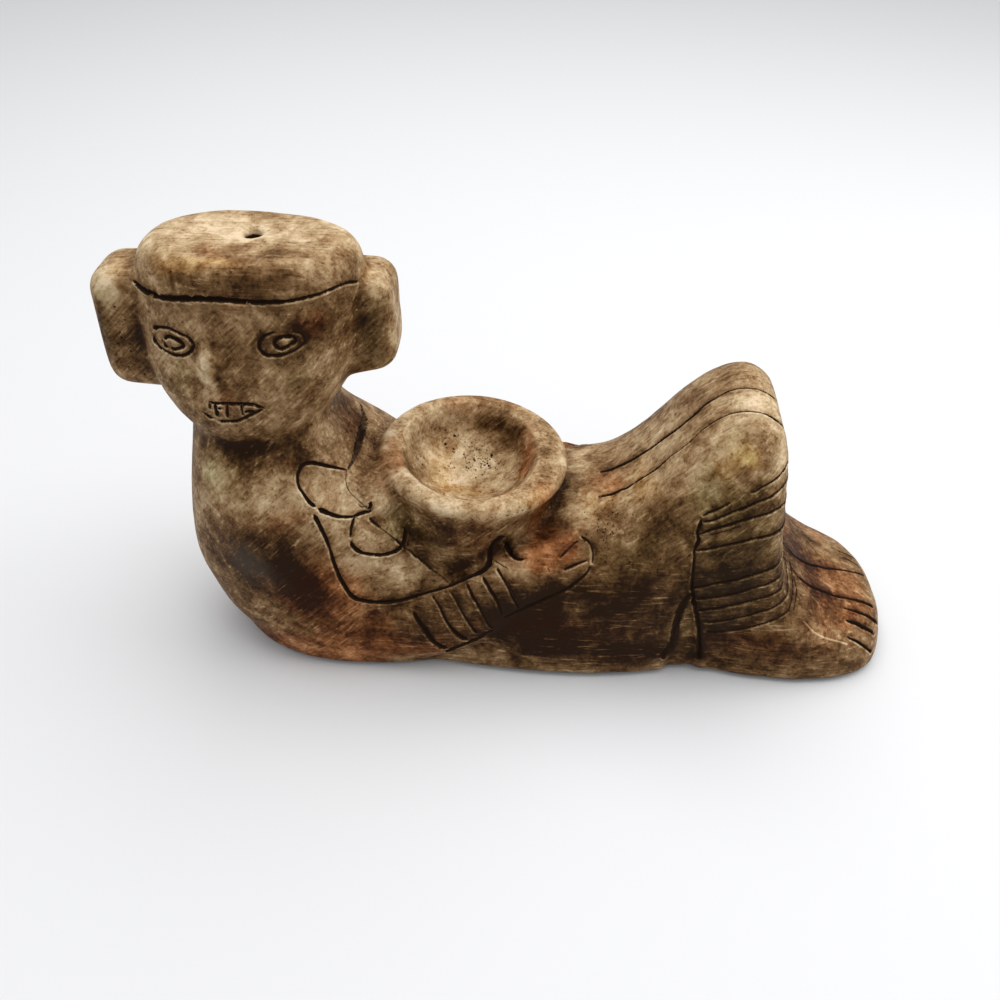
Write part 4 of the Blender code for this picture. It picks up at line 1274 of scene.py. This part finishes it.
OCHRE_PATCHES = (
    ((77, -27, 93), (5, 8, 3), 1), ((71, -28, 88), (4, 8, 3), 0.6), ((-86, -20, 152), (15, 3, 5), 0.7),
    ((13, -25, 71), (10, 7, 4), 0.6), ((33, -12, 62), (7, 9, 5), 0.6), ((-12, -5, 57), (14, 4, 5), 0.5),
    ((47, -6, 71), (7, 8, 6), 0.5), ((-53, -4, 152), (6, 4, 5), 0.4), ((-120, -6, 142), (3, 8, 5), 0.6),
    ((-24, 4, 61), (8, 17, 9), 0.5), ((49, -18, 72), (10, 7, 5), 0.5), ((24, -28, 55), (3, 7, 6), 0.6),
    ((-101, -16, 151), (6, 7, 4), 0.5), ((-43, -2, 142), (3, 7, 4), 0.5),
)
SMOKE_PATCHES = (
    ((-89, -35, 51), (9, 8, 8), 0.7), ((-82, -38, 45), (7, 8, 6), 0.5), ((-60, -40, 20), (11, 8, 6), 0.4),
    ((-74, -39, 37), (5, 8, 6), 0.4), ((35, -5, 63), (1, 2, 5), 0.3), ((106, 0, 33), (3, 24, 20), 0.4),
    ((53, -38, 20), (11, 8, 4), 0.3),
)


def daub(points, patches):
    """Soft daubs with uneven edges, added up: of wash and tint, and in some patches of painted shade and
    highlights.
    """
    total = np.zeros(len(points))
    for middle, half_sizes, strength in patches:
        reach = ((points - middle) / half_sizes) ** 2
        total += strength * np.exp(-0.7 * reach.sum(1))
    return total


def paint_fields(mesh, shut, proud):
    """Lays the patina's fields on the skin, with painted shade and highlights in its tone: tone, rust, olive
    and slant of the brush.
    """
    points = points_of(mesh) / MM
    drift = np.array([noise.noise_vector(Vector(point) * 0.14) for point in points]) * 2
    ragged = np.array([noise.noise_vector(Vector(point) * 0.45) for point in points]) * 1.2
    strayed = points + drift + ragged
    tone = daub(strayed, DARK_PATCHES) - daub(strayed, PALE_PATCHES)
    # The near side's dark patches, their painted shade among them, are laid again on the far side.
    from_behind = strayed * (1, -1, 1)
    on_the_side = [patch for patch in DARK_PATCHES if patch[0][1] < -18]
    tone += 0.7 * daub(from_behind + (9, 0, 4), on_the_side)
    # Darker where the skin is shut in: partly wash left in the hollows, partly painted shade under and
    # between the parts.
    tone += 0.5 * smooth_step(shut, 0.12, 0.6)
    tone -= 0.16 * smooth_step(proud, 0.1, 1.0)
    tone += 0.24 * smooth_step(-proud, 0.1, 0.8)
    tone += 0.1 * (1 - smooth_step(points[:, 2], 30, 60))
    # Painted shadow along the table: the lowest few millimetres of the skin are darkened.
    tone += 0.5 * (1 - smooth_step(points[:, 2], 0.8, 2.6))
    give_field(mesh, "tone", tone)
    rust = daub(strayed, RUST_PATCHES) + 0.6 * daub(from_behind, RUST_PATCHES) * (points[:, 1] > 18)
    give_field(mesh, "rust", np.clip(rust, 0, 1))
    give_field(mesh, "olive", np.clip(daub(strayed, OLIVE_PATCHES), 0, 1))
    give_field(mesh, "smoke", np.clip(daub(strayed, SMOKE_PATCHES), 0, 1))
    give_field(mesh, "ochre", np.clip(daub(strayed, OCHRE_PATCHES), 0, 1))
    x, _, z = strayed.T
    slant = smooth_step(z, 52, 60) * (1 - smooth_step(z, 136, 140)) + (1 - smooth_step(x, -50, -42))
    give_field(mesh, "slant", np.clip(slant, 0, 1) * (1 - smooth_step(z, 136, 140)))


def clay_glaze():
    """Unglazed clay under a brown wash that was rubbed back and waxed, with painted shade and highlights
    from the tone and line fields.
    """
    glaze = Glaze("fired_clay_patina_and_painted_shade")
    place = glaze.add("ShaderNodeTexCoord", {}, {}, "Object")
    line = glaze.field("line")
    burr = glaze.field("burr")
    tone = glaze.field("tone")

    warmth = glaze.grain(place, 34, 5, 0.6, 1.2)
    clouds = glaze.grain(place, 45, 5, 0.6, 0.8)
    mottle = glaze.grain(place, 170, 6, 0.66, 0.5)
    speckle = glaze.grain(place, 850, 4, 0.7)
    level = glaze.stroked(place, (0, 0, 0), (8, 1, 0.8), 750, 5)
    slanted = glaze.stroked(place, (0, math.radians(-44), 0), (6, 0.9, 0.7), 750, 5)
    brushing = level + (slanted - level) * glaze.field("slant")

    amount = tone + 0.455
    specks = speckle.between(0.58, 0.7) * (mottle + 0.1)
    scratches = brushing.between(0.56, 0.72)
    rubbed = brushing.between(0.44, 0.3)
    amount = amount + (clouds - 0.5) * 0.9
    amount = amount + (mottle - 0.5) * 1.15
    amount = amount + (brushing - 0.5) * 0.3
    amount = amount + (speckle - 0.5) * 0.45
    amount = amount + specks * 0.24 + scratches * 0.15 - rubbed * (tone * 0.45 + 0.12)
    amount = amount + glaze.field("smudge") * 0.3
    amount = amount - burr * 0.4
    body = glaze.add(
        "ShaderNodeValToRGB",
        {
            "stops": (
                (0.0, (0.66, 0.51, 0.335)),
                (0.2, (0.46, 0.33, 0.185)),
                (0.4, (0.29, 0.178, 0.086)),
                (0.55, (0.175, 0.096, 0.04)),
                (0.7, (0.1, 0.049, 0.0175)),
                (0.85, (0.047, 0.021, 0.0072)),
                (1.0, (0.02, 0.0085, 0.003)),
            )
        },
        {"Fac": amount},
    )
    rust = (glaze.field("rust") + (warmth - 0.5) * 1.5 + (mottle - 0.5) * 0.6).between(0.1, 0.95)
    olive = (glaze.field("olive") - (warmth - 0.5) * 1.4 + (mottle - 0.5) * 0.5).between(0.1, 0.95)
    ochre = (glaze.field("ochre") + (mottle - 0.5) * 1.2 + (speckle - 0.5) * 0.5).between(0.15, 0.9)
    smoke = (glaze.field("smoke") + (clouds - 0.5) * 0.7 + (brushing - 0.5) * 0.8).between(0.25, 1.0)
    body = glaze.mix(olive * 0.8, body, glaze.mix(1.0, body, (0.86, 1.0, 0.88), "MULTIPLY"))
    body = glaze.mix(ochre * 0.8, body, glaze.mix(1.0, body, (1.1, 0.92, 0.6), "MULTIPLY"))
    body = glaze.mix(rust * 0.9, body, glaze.mix(1.0, body, (1.18, 0.76, 0.58), "MULTIPLY"))
    body = glaze.mix(smoke * 0.45, body, (0.105, 0.08, 0.062))
    # Wash left in the strokes, and the painted shade inside the vent hole, both from the line field.
    wash = (line + (speckle - 0.5) * 0.5 + (mottle - 0.5) * 0.5).between(0.25, 0.8)
    body = glaze.mix(wash, body, (0.024, 0.0125, 0.007))

    shader = glaze.shader
    glaze.feed(shader.inputs["Base Color"], body)
    sheen = 0.5 + (speckle - 0.5) * 0.3 + (mottle - 0.5) * 0.3 + wash * 0.3
    glaze.feed(shader.inputs["Roughness"], sheen)
    shader.inputs["Specular IOR Level"].default_value = 0.05
    relief = speckle * 0.3 + brushing * 0.35 + mottle * 0.5 - specks * 0.5 - scratches * 0.25
    bump = glaze.add("ShaderNodeBump", {}, {"Strength": 0.5, "Distance": 0.0005, "Height": relief}, "Normal")
    glaze.feed(shader.inputs["Normal"], bump)
    return glaze.material


def table_top():
    """A plain pale table that fills the view."""
    bm = bmesh.new()
    bmesh.ops.create_grid(bm, x_segments=1, y_segments=1, size=3.0)
    table = as_object("table", bm)
    glaze = Glaze("pale_table")
    glaze.feed(glaze.shader.inputs["Base Color"], (0.72, 0.722, 0.73))
    glaze.shader.inputs["Roughness"].default_value = 0.6
    glaze.shader.inputs["Specular IOR Level"].default_value = 0.2
    table.data.materials.append(glaze.material)
    return table


def soft_light(name, place, aim, size, power, tint=(1, 1, 1)):
    lamp = bpy.data.lights.new(name, "AREA")
    lamp.shape = "RECTANGLE"
    lamp.size, lamp.size_y = size
    lamp.energy = power
    lamp.color = tint
    obj = bpy.data.objects.new(name, lamp)
    obj.location = place
    obj.rotation_euler = (Vector(aim) - Vector(place)).to_track_quat("-Z", "Y").to_euler()
    bpy.context.scene.collection.objects.link(obj)


def light_studio():
    world = bpy.data.worlds.new("studio")
    world.use_nodes = True
    sky = world.node_tree.nodes["Background"]
    sky.inputs["Color"].default_value = (0.98, 0.99, 1.0, 1)
    sky.inputs["Strength"].default_value = 0.66
    bpy.context.scene.world = world
    soft_light("overhead", (0.08, 0.18, 0.96), (0, 0, 0.05), (1.2, 1.0), 8.8)
    soft_light("window", (0.85, 0.0, 0.5), (0, 0, 0.05), (0.5, 0.5), 2)


# Camera: where it stands in the drawing, and how it looks down and turns
CAMERA_AT = (12.73, -280.96, 282.45)
CAMERA_PITCH = 39.5
CAMERA_YAW = 3.0
CAMERA_LENS = 36.0
SENSOR = 36.0


def set_camera(move):
    camera = bpy.data.cameras.new("camera")
    camera.sensor_width = SENSOR
    camera.lens = CAMERA_LENS
    camera.clip_start = 0.01
    obj = bpy.data.objects.new("camera", camera)
    obj.location = Vector(CAMERA_AT) * MM + move
    obj.rotation_euler = (math.radians(90 - CAMERA_PITCH), 0, math.radians(CAMERA_YAW))
    bpy.context.scene.collection.objects.link(obj)
    bpy.context.scene.camera = obj
    # The photograph's own straight tones: a pale table stays pale and the clay keeps its contrast.
    bpy.context.scene.view_settings.view_transform = "Standard"


def make_figure():
    figure = model_clay()
    mesh = figure.data
    press_heel_gaps(mesh)
    shut = hollowness(mesh)
    proud = proudness(mesh)
    thumb_over(mesh)
    paint_fields(mesh, shut, proud)
    places, cuts = lay_strokes(mesh, all_marks())
    halve_near(mesh, places)
    incise(mesh, places, cuts)
    round_foot(mesh)
    thin_skin(figure)
    slice_level(figure, 0.0)
    figure.data.shade_smooth()
    figure.data.materials.clear()
    figure.data.materials.append(clay_glaze())
    move = set_over_solid(figure)
    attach(figure, "root")
    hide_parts(FIGURE)
    return move


def main():
    move = make_figure()
    table = table_top()
    light_studio()
    set_camera(move)


main()
